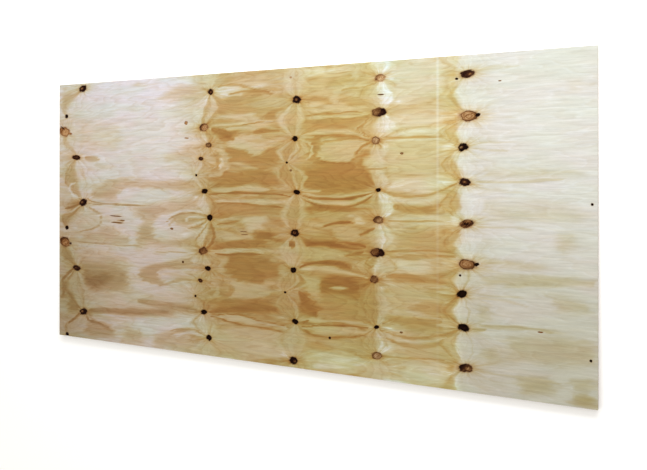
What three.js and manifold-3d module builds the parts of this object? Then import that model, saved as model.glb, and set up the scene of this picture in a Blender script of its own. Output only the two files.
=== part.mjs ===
// A sheet of softwood construction plywood, lying flat with its knotty face up.
//
// Sizes are millimetres. The origin is the centre of the underside. +X runs along the
// grain of the face, which is the long way of the sheet, +Y across it, and +Z out of it.
//
// The face ply is rotary cut: a knife peels it as one ribbon from a turning bolt. Every
// branch is cut through once a turn, so its knot comes back down the sheet after each
// turn, a little sooner every time, because the bolt gets thinner by the ply it gave.
// Sound knots stay flush with the face. Dead knots shrink below it as the ply dries, and
// loose ones drop out and leave a hole as deep as the face ply.

import * as THREE from 'three';
import { mergeVertices } from 'three/addons/utils/BufferGeometryUtils.js';
import Module from 'manifold-3d';

// The sheet.
const SHEET_LENGTH = 2440;
const SHEET_WIDTH = 1220;
const PLY_THICKNESS = 3.6;
const PLY_COUNT = 5;
const SHEET_THICKNESS = PLY_COUNT * PLY_THICKNESS;

// The bolt's radius where the ribbon leaves it at the sheet's far long edge (+Y).
const BOLT_RADIUS = 88.8;

// How far below the face a dead knot lies once the ply is dry.
const KNOT_SHRINKAGE = 1.2;

// A branch narrows towards the pith, so its knot is this share smaller at the floor.
const KNOT_TAPER = 0.12;

// The outline of a knot: how far it strays from an oval, as a share of its radius, the
// length of one facet of it, and the fewest facets that a small one has.
const OUTLINE_STRAY = 0.06;
const OUTLINE_FACET = 5.5;
const OUTLINE_FEWEST = 10;

// Cutters start this far above the face, so that no cut ends in the face's own plane.
const CUT_CLEARANCE = 1;

// The whorls of branches along the bolt. `foot` is a whorl's distance from the sheet's
// left end, and `climb` how far its knots move that way with each turn, because branches
// climb as they grow outwards. Of each branch, `at` is the angle round the bolt in
// degrees, `ahead` its distance past the foot, `long` and `wide` its knot's size along
// and across the grain, and `lean` how far the knot is turned anticlockwise in degrees.
// `open` and `sunk` list the turns, counted from 0, whose knot is missing or shrunk.
const WHORLS = [
  {
    foot: 152,
    climb: -2,
    branches: [
      { at: 16, ahead: 0, long: 48, wide: 31, lean: 14, sunk: [0, 1, 2] },
      { at: 100, ahead: -105, long: 21, wide: 20, lean: 0, open: [0, 1, 2] },
      { at: 232, ahead: -42, long: 52, wide: 24, lean: -4, sunk: [0, 1] },
    ],
  },
  {
    foot: 887,
    climb: 4,
    branches: [
      { at: 50.5, ahead: 0, long: 28, wide: 26, lean: 0, sunk: [0], open: [1, 2] },
      { at: 201, ahead: -10, long: 30, wide: 20, lean: -3, open: [1] },
      { at: 239.5, ahead: -50, long: 25, wide: 17, lean: -8, sunk: [0, 1] },
      { at: 287.5, ahead: -75, long: 11, wide: 11, lean: 0, open: [0, 1] },
      { at: 334, ahead: -31, long: 33, wide: 21, lean: 10, open: [0, 1] },
    ],
  },
  {
    foot: 1306,
    climb: 7,
    branches: [
      { at: 85, ahead: 0, long: 39, wide: 30, lean: 0, sunk: [0, 1, 2] },
      { at: 188.5, ahead: -8, long: 27, wide: 22, lean: 0, open: [0, 1] },
      { at: 252.5, ahead: -45, long: 11, wide: 9, lean: 0, open: [0, 1] },
      { at: 333, ahead: 1, long: 30, wide: 20, lean: -12, open: [0, 1] },
    ],
  },
  {
    foot: 1667,
    climb: 7,
    branches: [
      { at: 126.5, ahead: 8, long: 34, wide: 29, lean: 0, sunk: [0, 1] },
      { at: 324.5, ahead: -8, long: 22, wide: 14, lean: 15, open: [0, 1] },
    ],
  },
  {
    foot: 2003,
    climb: 4,
    branches: [
      { at: 44.5, ahead: 0, long: 54, wide: 29, lean: 9, sunk: [0, 1, 2] },
      { at: 55, ahead: -40, long: 12, wide: 8, lean: -6, open: [0] },
      { at: 143, ahead: 36, long: 20, wide: 13, lean: 22, open: [0, 1] },
      { at: 218.5, ahead: -17, long: 39, wide: 28, lean: 20, open: [0, 1] },
      { at: 303, ahead: -10, long: 42, wide: 28, lean: -8, sunk: [0], open: [1] },
      { at: 351, ahead: 419, long: 9, wide: 9, lean: 0, open: [0, 1] },
    ],
  },
];

// How far down the sheet from its far long edge the ribbon has run after an angle.
function ribbonRun(angle) {
  const thinning = PLY_THICKNESS / (4 * Math.PI);
  return BOLT_RADIUS * angle - thinning * angle * angle;
}

// Where the knot of a branch comes up in the sheet on one turn of the bolt.
function knotPlace(whorl, branch, turn) {
  const angle = THREE.MathUtils.degToRad(branch.at) + turn * 2 * Math.PI;
  return new THREE.Vector2(
    -SHEET_LENGTH / 2 + whorl.foot + branch.ahead - whorl.climb * turn,
    SHEET_WIDTH / 2 - ribbonRun(angle),
  );
}

// The outline of a knot about its own centre: an oval that strays a little, in and out,
// in a way of its own for each branch and turn.
function knotOutline(branch, turn) {
  const girth = (Math.PI * (branch.long + branch.wide)) / 2;
  const facets = Math.max(OUTLINE_FEWEST, Math.round(girth / OUTLINE_FACET));
  const habit = branch.at + turn;
  const points = [];
  for (let i = 0; i < facets; i += 1) {
    const bearing = (i / facets) * 2 * Math.PI;
    const wave = Math.sin(2 * bearing + habit) + Math.sin(3 * bearing - 2 * habit);
    const reach = 0.5 * (1 + (OUTLINE_STRAY / 2) * wave);
    points.push(new THREE.Vector2(
      branch.long * reach * Math.cos(bearing),
      branch.wide * reach * Math.sin(bearing),
    ));
  }
  return new THREE.Shape(points);
}

// The solid that is taken out of the face for one knot, down to a given depth.
function knotCutter(whorl, branch, turn, depth) {
  const cutter = new THREE.ExtrudeGeometry(knotOutline(branch, turn), {
    depth: depth + CUT_CLEARANCE,
    bevelEnabled: false,
  });
  const corners = cutter.getAttribute('position');
  for (let i = 0; i < corners.count; i += 1) {
    if (corners.getZ(i) === 0) {
      corners.setX(i, corners.getX(i) * (1 - KNOT_TAPER));
      corners.setY(i, corners.getY(i) * (1 - KNOT_TAPER));
    }
  }
  const place = knotPlace(whorl, branch, turn);
  cutter.rotateZ(THREE.MathUtils.degToRad(branch.lean));
  cutter.translate(place.x, place.y, SHEET_THICKNESS - depth);
  return cutter;
}

// Every cutter of the face: shallow for a sunk knot, and a ply deep for a missing one.
function knotCutters() {
  const cutters = [];
  for (const whorl of WHORLS) {
    for (const branch of whorl.branches) {
      for (const turn of branch.sunk ?? []) {
        cutters.push(knotCutter(whorl, branch, turn, KNOT_SHRINKAGE));
      }
      for (const turn of branch.open ?? []) {
        cutters.push(knotCutter(whorl, branch, turn, PLY_THICKNESS));
      }
    }
  }
  return cutters;
}

// A three.js geometry as a solid that can be cut.
function solidOf(wasm, geometry) {
  const bare = geometry.clone();
  bare.deleteAttribute('normal');
  bare.deleteAttribute('uv');
  const merged = mergeVertices(bare);
  return new wasm.Manifold(new wasm.Mesh({
    numProp: 3,
    vertProperties: new Float32Array(merged.getAttribute('position').array),
    triVerts: new Uint32Array(merged.index.array),
  }));
}

// A solid as a three.js geometry again.
function geometryOf(solid) {
  const mesh = solid.getMesh();
  const geometry = new THREE.BufferGeometry();
  geometry.setAttribute('position', new THREE.BufferAttribute(mesh.vertProperties, 3));
  geometry.setIndex(new THREE.BufferAttribute(mesh.triVerts, 1));
  geometry.computeVertexNormals();
  return geometry;
}

// The sheet: its five plies are glued into one panel, sawn square, less the knot holes.
function sheetGeometry(wasm) {
  const panel = new THREE.BoxGeometry(SHEET_LENGTH, SHEET_WIDTH, SHEET_THICKNESS);
  panel.translate(0, 0, SHEET_THICKNESS / 2);
  let sheet = solidOf(wasm, panel);
  for (const cutter of knotCutters()) {
    sheet = sheet.subtract(solidOf(wasm, cutter));
  }
  return geometryOf(sheet);
}

const wasm = await Module();
wasm.setup();

const veneer = new THREE.MeshStandardMaterial({
  color: 0xd6b98c,
  roughness: 0.62,
  metalness: 0,
});

const sheet = new THREE.Mesh(sheetGeometry(wasm), veneer);
sheet.name = 'plywood_sheet';

const part = new THREE.Group();
part.add(sheet);

export default part;
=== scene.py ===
"""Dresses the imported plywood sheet: its peeled face, sawn edges, back, floor, light and camera.

The tables are in millimetres and degrees, in the sheet's own frame: X runs along the
grain of the face, Y across it and Z out of it, from the centre of the underside.
Meshes and objects are in metres, so a length from a table is multiplied by MM.
"""

from __future__ import annotations

import logging
import math
import random
from collections.abc import Callable, Sequence
from dataclasses import dataclass
from enum import Enum

import bmesh
import bpy
import numpy as np
from mathutils import Matrix, Vector

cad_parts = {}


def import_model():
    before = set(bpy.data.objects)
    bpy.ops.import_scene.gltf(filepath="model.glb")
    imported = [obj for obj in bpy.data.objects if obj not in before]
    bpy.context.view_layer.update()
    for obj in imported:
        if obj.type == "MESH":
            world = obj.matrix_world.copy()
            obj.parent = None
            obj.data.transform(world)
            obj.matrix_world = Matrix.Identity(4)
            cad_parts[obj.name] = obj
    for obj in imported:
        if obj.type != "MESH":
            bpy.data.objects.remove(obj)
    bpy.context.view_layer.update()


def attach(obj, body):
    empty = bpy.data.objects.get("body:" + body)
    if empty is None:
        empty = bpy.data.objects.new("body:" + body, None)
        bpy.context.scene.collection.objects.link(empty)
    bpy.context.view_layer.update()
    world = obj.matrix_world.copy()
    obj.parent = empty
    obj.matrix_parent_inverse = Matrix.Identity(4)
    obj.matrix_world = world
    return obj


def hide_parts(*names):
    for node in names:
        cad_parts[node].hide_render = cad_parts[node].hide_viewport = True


LOG = logging.getLogger("plywood_sheet")

MM = 0.001
FULL_TURN = 2 * math.pi
NODE = "plywood_sheet"

# The sheet, and the bolt's radius where the ribbon of its face leaves it at the far edge.
SHEET_LENGTH = 2440.0
SHEET_WIDTH = 1220.0
PLY_COUNT = 5
PLY = 3.6
THICKNESS = PLY_COUNT * PLY
BOLT_RADIUS = 88.8

# How far a knot's outline strays from an oval, as a share of its radius.
OUTLINE_STRAY = 0.06

Color = tuple[float, float, float]
Stops = Sequence[tuple[float, Color]]
Point = tuple[float, float]


# ------------------------------------------------------------------ the peeled bolt


class Look(Enum):
    """How a knot lies in the face: its floor's depth under it, in mm."""

    SOUND = 0.0
    SUNK = 1.2
    OPEN = 3.6


@dataclass(frozen=True)
class Wood:
    """What a knot is made of, by lightness, from 0, black, to 1, the palest brown.

    Attributes:
        core: the lightness of its middle.
        rim: the lightness of its rim.
        side: how black its right half is, or its left half when below 0.
        red: how reddish it is, from 0 to 1.
    """

    core: float = 0.05
    rim: float = 0.0
    side: float = 0.0
    red: float = 0.0


# What one turn of the bolt leaves of a branch.
Turn = tuple[Look, Wood]


def sound(*wood: float) -> Turn:
    """A sound knot of a wood."""
    return Look.SOUND, Wood(*wood)


def sunk(*wood: float) -> Turn:
    """A sunk knot of a wood."""
    return Look.SUNK, Wood(*wood)


def gone(*wood: float) -> Turn:
    """The hole of a lost knot, black if no wood is given."""
    return Look.OPEN, Wood(*wood)


@dataclass(frozen=True)
class Branch:
    """One branch of a whorl, cut through once in every turn of the bolt.

    Attributes:
        at: its angle round the bolt, in degrees.
        ahead: its distance past the whorl's foot, in mm.
        long: its knot's size along the grain, in mm.
        wide: its knot's size across the grain, in mm.
        lean: how far the knot is turned anticlockwise, in degrees.
        turns: the look and the wood of its knot on each turn, first turn first.
        flare: how strongly the grain is drawn into rays round it.
    """

    at: float
    ahead: float
    long: float
    wide: float
    lean: float
    turns: tuple[Turn, ...]
    flare: float = 1.0


# The tones across an eye where it is widest: how far to the right of the line between its
# two knots, in mm, and the tone there. The first and the last fade into the wood around.
Eye = tuple[Point, ...]


def pairs(numbers: Sequence[float]) -> tuple[Point, ...]:
    """Numbers taken two by two."""
    return tuple(zip(numbers[::2], numbers[1::2]))


def eyes(*rows: Sequence[float]) -> tuple[Eye, ...]:
    """The eyes of a whorl, each from a row of places and tones in turn."""
    return tuple(pairs(row) for row in rows)


@dataclass(frozen=True)
class Whorl:
    """A whorl of branches at one height of the bolt.

    Attributes:
        foot: its distance from the sheet's left end, in mm.
        climb: how far its knots move towards that end with each turn, in mm.
        branches: its branches, in any order.
        eyes: the eyes of nested arcs above, between and below its knots, from the top.
    """

    foot: float
    climb: float
    branches: tuple[Branch, ...]
    eyes: tuple[Eye, ...] = ()


WHORLS = (
    Whorl(152, -2, (
        Branch(16, 0, 48, 31, 14, (sunk(0.5, 0.02, 0.8),) * 3),
        Branch(100, -105, 21, 20, 0, (gone(),) * 3, 0.3),
        Branch(148, -118, 66, 44, -12, (sound(0.95, 0.65, -0.2, 0.8), sound(0.7, 0.4, -0.4, 0.7)), 0.6),
        Branch(232, -42, 52, 24, -4, (sunk(0.24, 0.1),) * 2),
    ), eyes(
        (),
        (-90, 0.4, -60, 0.5, -34, 0.42, -15, 0.15, 20, 0.1, 50, 0.2),
        (),
        (-60, 0.3, -24, 0.42, -5, 0.4, 6, 0.3, 16, 0.12, 60, 0.1, 90, 0.3),
        (-104, 0.5, -96, 0.72, -84, 0.36, -70, 0.52, -40, 0.52, -24, 0.4, -10, 0.14, 10, 0.1, 40, 0.3),
        (-90, 0.6, -70, 0.7, -30, 0.62, 10, 0.34, 50, 0.15, 75, 0.3),
        (),
        (-80, 0.5, -40, 0.66, 0, 0.58, 20, 0.2, 50, 0.35),
        (-110, 0.6, -96, 0.75, -80, 0.6, -60, 0.3, -30, 0.28, -10, 0.34, 10, 0.5, 26, 0.3, 50, 0.3),
        (-60, 0.6, -40, 0.62, -20, 0.3, 20, 0.3, 60, 0.4),
        (),
    )),
    Whorl(887, 4, (
        Branch(50.5, 0, 28, 26, 0, (sunk(0.32, 0.02, 0, 0.4), gone(0.1, 0, 0, 0.8), gone())),
        Branch(150, -35, 44, 32, 8, (sound(0.8, 0.5, -0.5, 0.5), sound(0.52, 0.36, -0.3, 0.6))),
        Branch(201, -10, 30, 20, -3, (sound(0.5, 0.06), gone(0.1, 0, 0, 0.8))),
        Branch(239.5, -50, 25, 17, -8, (sunk(0.3, 0.12),) * 2),
        Branch(287.5, -75, 11, 11, 0, (gone(),) * 2, 0.6),
        Branch(334, -31, 33, 21, 10, (gone(0.05, 0, 0, 0.6),) * 2, 1.3),
    ), eyes(
        (-60, 0.2, -20, 0.18, 20, 0.26, 60, 0.3),
        (
            -100, 0.25, -75, 0.1, -24, 0.08, -18, 0.4, -8, 0.55, 8, 0.42, 20, 0.22, 44, 0.24, 52, 0.6,
            80, 0.66,
        ),
        (-45, 0.2, -25, 0.1, -12, 0.16, 0, 0.55, 25, 0.62, 40, 0.35, 48, 0.6, 66, 0.66),
        (
            -34, 0.25, -18, 0.3, -6, 0.42, 4, 0.3, 14, 0.5, 36, 0.5, 44, 0.24, 52, 0.52, 64, 0.45,
            72, 0.6, 90, 0.5,
        ),
        (-24, 0.2, -6, 0.1, 8, 0.16, 18, 0.42, 44, 0.48, 51, 0.3, 60, 0.55, 76, 0.5),
        (-30, 0.3, -10, 0.25, 4, 0.3, 18, 0.55, 28, 0.28, 38, 0.6, 56, 0.6),
        (-72, 0.3, -50, 0.14, -18, 0.1, -4, 0.16, 4, 0.42, 20, 0.5, 30, 0.66, 60, 0.66),
        (-62, 0.35, -40, 0.16, -4, 0.12, 4, 0.45, 14, 0.64, 34, 0.6, 42, 0.3, 66, 0.3),
        (-54, 0.4, -34, 0.26, -6, 0.36, 10, 0.26, 26, 0.5, 56, 0.42, 66, 0.55, 90, 0.45),
        (-50, 0.4, -34, 0.24, -20, 0.38, 20, 0.5, 36, 0.48, 44, 0.26, 52, 0.56, 62, 0.36, 84, 0.5),
        (-34, 0.3, -10, 0.34, 30, 0.4, 56, 0.48, 66, 0.62, 74, 0.3, 100, 0.4),
        (-30, 0.3, -8, 0.3, 12, 0.52, 36, 0.6, 50, 0.7, 66, 0.7),
        (-86, 0.3, -70, 0.52, -60, 0.22, -36, 0.12, -4, 0.18, 14, 0.4, 30, 0.22, 60, 0.35),
        (-60, 0.4, -30, 0.3, 0, 0.25, 40, 0.35, 60, 0.45),
    )),
    Whorl(1306, 7, (
        Branch(85, 0, 39, 30, 0, (sunk(0.5, -0.2), sunk(0.44, 0.02, 0, 0.5), sunk(0.4, -0.1))),
        Branch(188.5, -8, 27, 22, 0, (gone(),) * 2, 1.2),
        Branch(252.5, -45, 11, 9, 0, (gone(),) * 2, 0.5),
        Branch(333, 1, 30, 20, -12, (gone(),) * 2, 1.3),
    ), eyes(
        (-90, 0.4, -64, 0.3, -30, 0.22, -14, 0.36, -2, 0.36, 6, 0.24, 34, 0.26, 56, 0.4),
        (
            -96, 0.66, -80, 0.34, -72, 0.16, -56, 0.14, -46, 0.36, -34, 0.5, 2, 0.48, 14, 0.22, 34, 0.2,
            46, 0.42, 66, 0.6,
        ),
        (
            -84, 0.7, -66, 0.4, -60, 0.2, -44, 0.24, -32, 0.6, -6, 0.62, 12, 0.5, 22, 0.2, 36, 0.24,
            43, 0.58, 50, 0.55, 58, 0.28, 74, 0.3, 86, 0.2, 96, 0.6,
        ),
        (
            -76, 0.6, -64, 0.36, -52, 0.62, 0, 0.66, 10, 0.4, 16, 0.3, 24, 0.56, 52, 0.52, 60, 0.26,
            74, 0.3, 84, 0.62,
        ),
        (
            -90, 0.6, -74, 0.34, -64, 0.2, -50, 0.26, -38, 0.5, 12, 0.52, 22, 0.26, 38, 0.24, 50, 0.4,
            76, 0.5,
        ),
        (-80, 0.45, -62, 0.2, -30, 0.2, 20, 0.22, 34, 0.46, 42, 0.24, 60, 0.34, 76, 0.45),
        (
            -74, 0.5, -52, 0.34, -26, 0.48, 10, 0.45, 24, 0.56, 34, 0.22, 44, 0.26, 50, 0.62, 68, 0.66,
            76, 0.28, 92, 0.18, 108, 0.4,
        ),
        (-96, 0.7, -70, 0.56, -60, 0.36, -48, 0.5, 14, 0.52, 24, 0.3, 38, 0.26, 46, 0.7, 64, 0.8),
        (-90, 0.3, -58, 0.46, -48, 0.3, -20, 0.28, 20, 0.3, 48, 0.28, 56, 0.42, 80, 0.4),
        (-60, 0.3, 0, 0.2, 60, 0.3),
    )),
    Whorl(1667, 7, (
        Branch(41.5, 0, 40, 28, 2, (sound(0.9, 0.55), sound(0.6, 0.35), sound(0.8, 0.42)), 0.8),
        Branch(126.5, 8, 34, 29, 0, (sunk(0.12, 0),) * 2, 0.7),
        Branch(127, -8, 50, 35, 0, (sound(0.46, 0.36, 0.8), sound(0.42, 0.24, 0.8, 0.4)), 0.5),
        Branch(198, -18, 34, 28, 0, (sound(0.78, 0.5), sound(0.5, 0.44, 0, 0.3)), 1.2),
        Branch(324.5, -8, 22, 14, 15, (gone(),) * 2, 1.2),
    ), eyes(
        (-80, 0.4, -60, 0.4, -40, 0.2, -10, 0.14, 34, 0.1, 56, 0.2, 86, 0.28),
        (-80, 0.35, -56, 0.32, -26, 0.24, -12, 0.08, 20, 0.04, 44, 0.06, 56, 0.22, 90, 0.3),
        (
            -112, 0.45, -100, 0.62, -92, 0.3, -74, 0.34, -66, 0.64, -58, 0.3, -40, 0.42, -28, 0.4,
            -12, 0.14, 4, 0.02, 60, 0.02, 80, 0.14, 96, 0.3,
        ),
        (-56, 0.45, -34, 0.2, -10, 0.14, 14, 0.12, 34, 0.3, 50, 0.4),
        (-50, 0.55, -30, 0.34, -6, 0.42, 14, 0.1, 40, 0.0, 58, 0.02, 74, 0.3),
        (-64, 0.5, -46, 0.3, -26, 0.24, -14, 0.02, 26, 0.0, 32, 0.26, 40, 0.08, 58, 0.1, 84, 0.45),
        (
            -98, 0.35, -85, 0.64, -78, 0.28, -64, 0.38, -56, 0.26, -42, 0.5, -22, 0.44, -6, 0.06,
            20, 0.06, 34, 0.24, 66, 0.24, 78, 0.52, 86, 0.22, 104, 0.2,
        ),
        (-78, 0.35, -60, 0.66, -50, 0.48, -20, 0.56, 4, 0.5, 22, 0.2, 50, 0.16, 72, 0.2),
        (-74, 0.35, -52, 0.6, -44, 0.34, -18, 0.4, 2, 0.18, 16, 0.04, 58, 0.06, 90, 0.2, 110, 0.3),
        (-60, 0.3, -40, 0.24, 0, 0.2, 60, 0.25),
    )),
    Whorl(2003, 4, (
        Branch(44.5, 0, 54, 29, 9, (sunk(0.34, 0.08), sunk(0.04, 0.38, 0, 0.3), sunk(0.6, 0.3, -0.9))),
        Branch(144.5, 4, 64, 37, 0, (sound(0.8, 0.4, 0.25, 0.2), sound(0.64, 0.34, 0.25, 0.4))),
        Branch(218.5, -17, 39, 28, 20, (gone(0.7, 0, 0.8), gone()), 1.2),
        Branch(303, -10, 42, 28, -8, (sunk(0.42, 0.05, 0, 0.2), gone()), 1.2),
    ), eyes(
        (-130, 0.3, -114, 0.5, -98, 0.36, -60, 0.28, -32, 0.16, 0, 0.1, 34, 0.12, 60, 0.14),
        (
            -112, 0.4, -100, 0.5, -76, 0.4, -63, 0.62, -52, 0.52, -43, 0.2, -26, 0.12, -4, 0.12, 0, 0.24,
            5, 0.1, 32, 0.12, 56, 0.14,
        ),
        (
            -108, 0.3, -96, 0.58, -90, 0.34, -77, 0.3, -70, 0.66, -62, 0.46, -34, 0.4, -28, 0.08, 0, 0.02,
            20, 0.04, 50, 0.08,
        ),
        (
            -100, 0.34, -90, 0.68, -80, 0.44, -60, 0.4, -52, 0.62, -43, 0.44, -26, 0.36, -18, 0.06,
            12, 0.02, 22, 0.12, 28, 0.03, 56, 0.08,
        ),
        (
            -102, 0.36, -92, 0.7, -82, 0.46, -66, 0.44, -58, 0.7, -49, 0.46, -28, 0.38, -20, 0.06,
            12, 0.02, 42, 0.04, 50, 0.18, 57, 0.05, 80, 0.08,
        ),
        (
            -98, 0.4, -83, 0.72, -75, 0.5, -50, 0.48, -40, 0.28, -35, 0.04, 8, 0.02, 13, 0.26, 18, 0.04,
            50, 0.08,
        ),
        (
            -98, 0.42, -84, 0.72, -74, 0.54, -58, 0.4, -48, 0.62, -40, 0.3, -28, 0.26, -12, 0.2, 2, 0.24,
            12, 0.56, 19, 0.26, 46, 0.2,
        ),
        (
            -90, 0.42, -64, 0.74, -54, 0.56, -40, 0.52, -33, 0.28, -24, 0.04, 8, 0.03, 20, 0.1, 26, 0.52,
            33, 0.18, 60, 0.2,
        ),
        (
            -104, 0.35, -88, 0.7, -79, 0.36, -60, 0.24, -46, 0.36, -38, 0.08, 0, 0.04, 22, 0.1, 30, 0.36,
            38, 0.1, 66, 0.16,
        ),
        (-96, 0.4, -72, 0.6, -50, 0.5, -36, 0.08, 0, 0.03, 34, 0.12, 60, 0.16),
    )),
)

# Single branches that no whorl's eyes run through: they bend the grain very little.
STRAYS = (
    Whorl(2003, 4, (
        Branch(55, -40, 12, 8, -6, (gone(),), 0.3),
        Branch(143, 36, 20, 13, 22, (gone(),) * 2, 0.6),
        Branch(351, 419, 9, 9, 0, (gone(),) * 2, 0.2),
    )),
)


@dataclass(frozen=True)
class Knot:
    """One knot, pin knot, stain or split of the face.

    Attributes:
        x: its middle along the sheet, in mm.
        y: its middle across the sheet, in mm.
        long: its size along the grain, in mm.
        wide: its size across the grain, in mm.
        lean: how far it is turned anticlockwise, in degrees.
        wood: what it is made of.
        look: how it lies in the face.
        flare: how strongly the grain is drawn into rays round it.
        habit: the number that its own small irregularities come from.
    """

    x: float
    y: float
    long: float
    wide: float
    lean: float = 0.0
    wood: Wood = Wood()
    look: Look = Look.SOUND
    flare: float = 0.0
    habit: float = 0.0

    def local(self, x: np.ndarray, y: np.ndarray) -> tuple[np.ndarray, np.ndarray]:
        """Places seen from the knot's middle.

        Args:
            x: places along the sheet, in mm.
            y: places across the sheet, in mm.

        Returns:
            The same places along and across the knot, in mm.
        """
        lean = math.radians(self.lean)
        ahead, aside = x - self.x, y - self.y
        along = ahead * math.cos(lean) + aside * math.sin(lean)
        return along, aside * math.cos(lean) - ahead * math.sin(lean)

    def reach(self, x: np.ndarray, y: np.ndarray) -> np.ndarray:
        """How far out places lie, in mm, where the knot's oval comes out as 1."""
        along, across = self.local(x, y)
        return np.hypot(along / (self.long / 2), across / (self.wide / 2))

    def bearing(self, x: float, y: float) -> float:
        """The direction of a place, in mm, as an angle in the knot's own half sizes."""
        along, across = self.local(x, y)
        return math.atan2(across / self.wide, along / self.long)

    def place(self, bearing: float, scale: float) -> Point:
        """A point on the knot's outline, or on a smaller or larger copy of it.

        Args:
            bearing: the angle in the knot's own half sizes, in radians.
            scale: the size of the copy, where 1 is the outline.

        Returns:
            The point's place on the sheet, in mm.
        """
        wave = math.sin(2 * bearing + self.habit) + math.sin(3 * bearing - 2 * self.habit)
        reach = scale * (1 + OUTLINE_STRAY / 2 * wave) / 2
        lean = math.radians(self.lean)
        along = self.long * reach * math.cos(bearing)
        across = self.wide * reach * math.sin(bearing)
        return (
            self.x + along * math.cos(lean) - across * math.sin(lean),
            self.y + along * math.sin(lean) + across * math.cos(lean),
        )


# Pin knots, stains and splits that lie flush with the face.
SPLIT = Wood(0.5, 0.5)
STAIN = Wood(0.55, 0.5)
MARKS = (
    Knot(235, -472, 11, 10),
    Knot(756, -190, 9, 8),
    Knot(534, 256, 13, 8, 0, STAIN),
    Knot(532, -420, 12, 7, 0, STAIN),
    Knot(-540, -67, 16, 9, -8, STAIN),
    Knot(-479, -212, 11, 10, 0, Wood(0.3, 0.3)),
    Knot(60, 571, 10, 7, 0, Wood(0.8, 0.8)),
    Knot(60, 192, 10, 8, 0, STAIN),
    Knot(-462, 402, 17, 15, 0, Wood(0.75, 0.7, 0, 0.6)),
    Knot(1036, -368, 18, 5, 0, Wood(0.55, 0.55, 0, 0.8)),
    Knot(898, 509, 11, 4, 0, SPLIT),
    Knot(450, 482, 27, 5, 0, Wood(0.3, 0.3)),
    Knot(-862, -20, 70, 5, -2, SPLIT),
    Knot(-822, -38, 26, 4, 0, SPLIT),
    Knot(-855, -50, 66, 5, -1, SPLIT),
    Knot(-165, -66, 32, 3, 0, SPLIT),
    Knot(-160, -78, 34, 3, 0, SPLIT),
    Knot(-459, 335, 22, 6, -4, Wood(0.8, 0.8)),
    Knot(-1194, 396, 42, 8, -36),
    Knot(-1146, -160, 13, 11, 0, Wood(0.2, 0.2)),
    Knot(-1152, 372, 30, 10, -10, Wood(0.7, 0.65, 0, 1)),
)


@dataclass(frozen=True)
class Bolt:
    """The turning bolt that the face ply is peeled from.

    Attributes:
        radius: its radius where the ribbon leaves it at the far long edge, in mm.
        ply: the thickness that one turn takes off it, in mm.
    """

    radius: float
    ply: float

    def run(self, angle: float) -> float:
        """The length of the ribbon that has come off after an angle in radians, in mm."""
        return self.radius * angle - self.ply / (4 * math.pi) * angle**2

    def knots(self, whorl: Whorl) -> list[Knot]:
        """The knots that one whorl leaves in the face.

        Args:
            whorl: the whorl.

        Returns:
            Its knots, from the far long edge down.
        """
        found = []
        for branch in whorl.branches:
            for turn, (look, wood) in enumerate(branch.turns):
                angle = math.radians(branch.at) + turn * FULL_TURN
                found.append(Knot(
                    x=whorl.foot + branch.ahead - whorl.climb * turn - SHEET_LENGTH / 2,
                    y=SHEET_WIDTH / 2 - self.run(angle),
                    long=branch.long,
                    wide=branch.wide,
                    lean=branch.lean,
                    wood=wood,
                    look=look,
                    flare=branch.flare,
                    habit=branch.at + turn,
                ))
        return sorted(found, key=lambda knot: -knot.y)


BOLT = Bolt(BOLT_RADIUS, PLY)


def all_knots() -> list[Knot]:
    """Every knot that the bolt leaves in the face, of its whorls and of its strays."""
    return [knot for whorl in WHORLS + STRAYS for knot in BOLT.knots(whorl)]


# ------------------------------------------------------------------ the face's figure


def smooth(low: float, high: float, value: np.ndarray) -> np.ndarray:
    """A soft step from 0 to 1.

    Args:
        low: where the step starts.
        high: where it ends.
        value: the values to step.

    Returns:
        The steps.
    """
    share = np.clip((value - low) / (high - low), 0, 1)
    return share * share * (3 - 2 * share)


def line_reach(x: np.ndarray, y: np.ndarray, points: Sequence[Point]) -> tuple[np.ndarray, np.ndarray]:
    """How far places lie from a crooked line.

    Args:
        x: places along the sheet, in mm.
        y: places across the sheet, in mm.
        points: the line's points, in mm.

    Returns:
        The distance of each place from the line, in mm, and how far along it the nearest
        point lies, from 0 to 1.
    """
    far = np.full_like(x, math.inf)
    along = np.zeros_like(x)
    count = len(points) - 1
    for number, ((x0, y0), (x1, y1)) in enumerate(zip(points, points[1:])):
        share = ((x - x0) * (x1 - x0) + (y - y0) * (y1 - y0)) / ((x1 - x0) ** 2 + (y1 - y0) ** 2)
        share = np.clip(share, 0, 1)
        here = np.hypot(x - x0 - share * (x1 - x0), y - y0 - share * (y1 - y0))
        nearer = here < far
        far[nearer] = here[nearer]
        along[nearer] = (number + share[nearer]) / count
    return far, along


def box_round(x: np.ndarray, y: np.ndarray, points: Sequence[Point], edge: float) -> np.ndarray:
    """Which places lie in the box round some points, or near it.

    Args:
        x: places along the sheet, in mm.
        y: places across the sheet, in mm.
        points: the points, in mm.
        edge: how far outside the box a place may lie, in mm.

    Returns:
        Whether each place does.
    """
    xs, ys = zip(*points)
    return (x > min(xs) - edge) & (x < max(xs) + edge) & (y > min(ys) - edge) & (y < max(ys) + edge)


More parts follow.
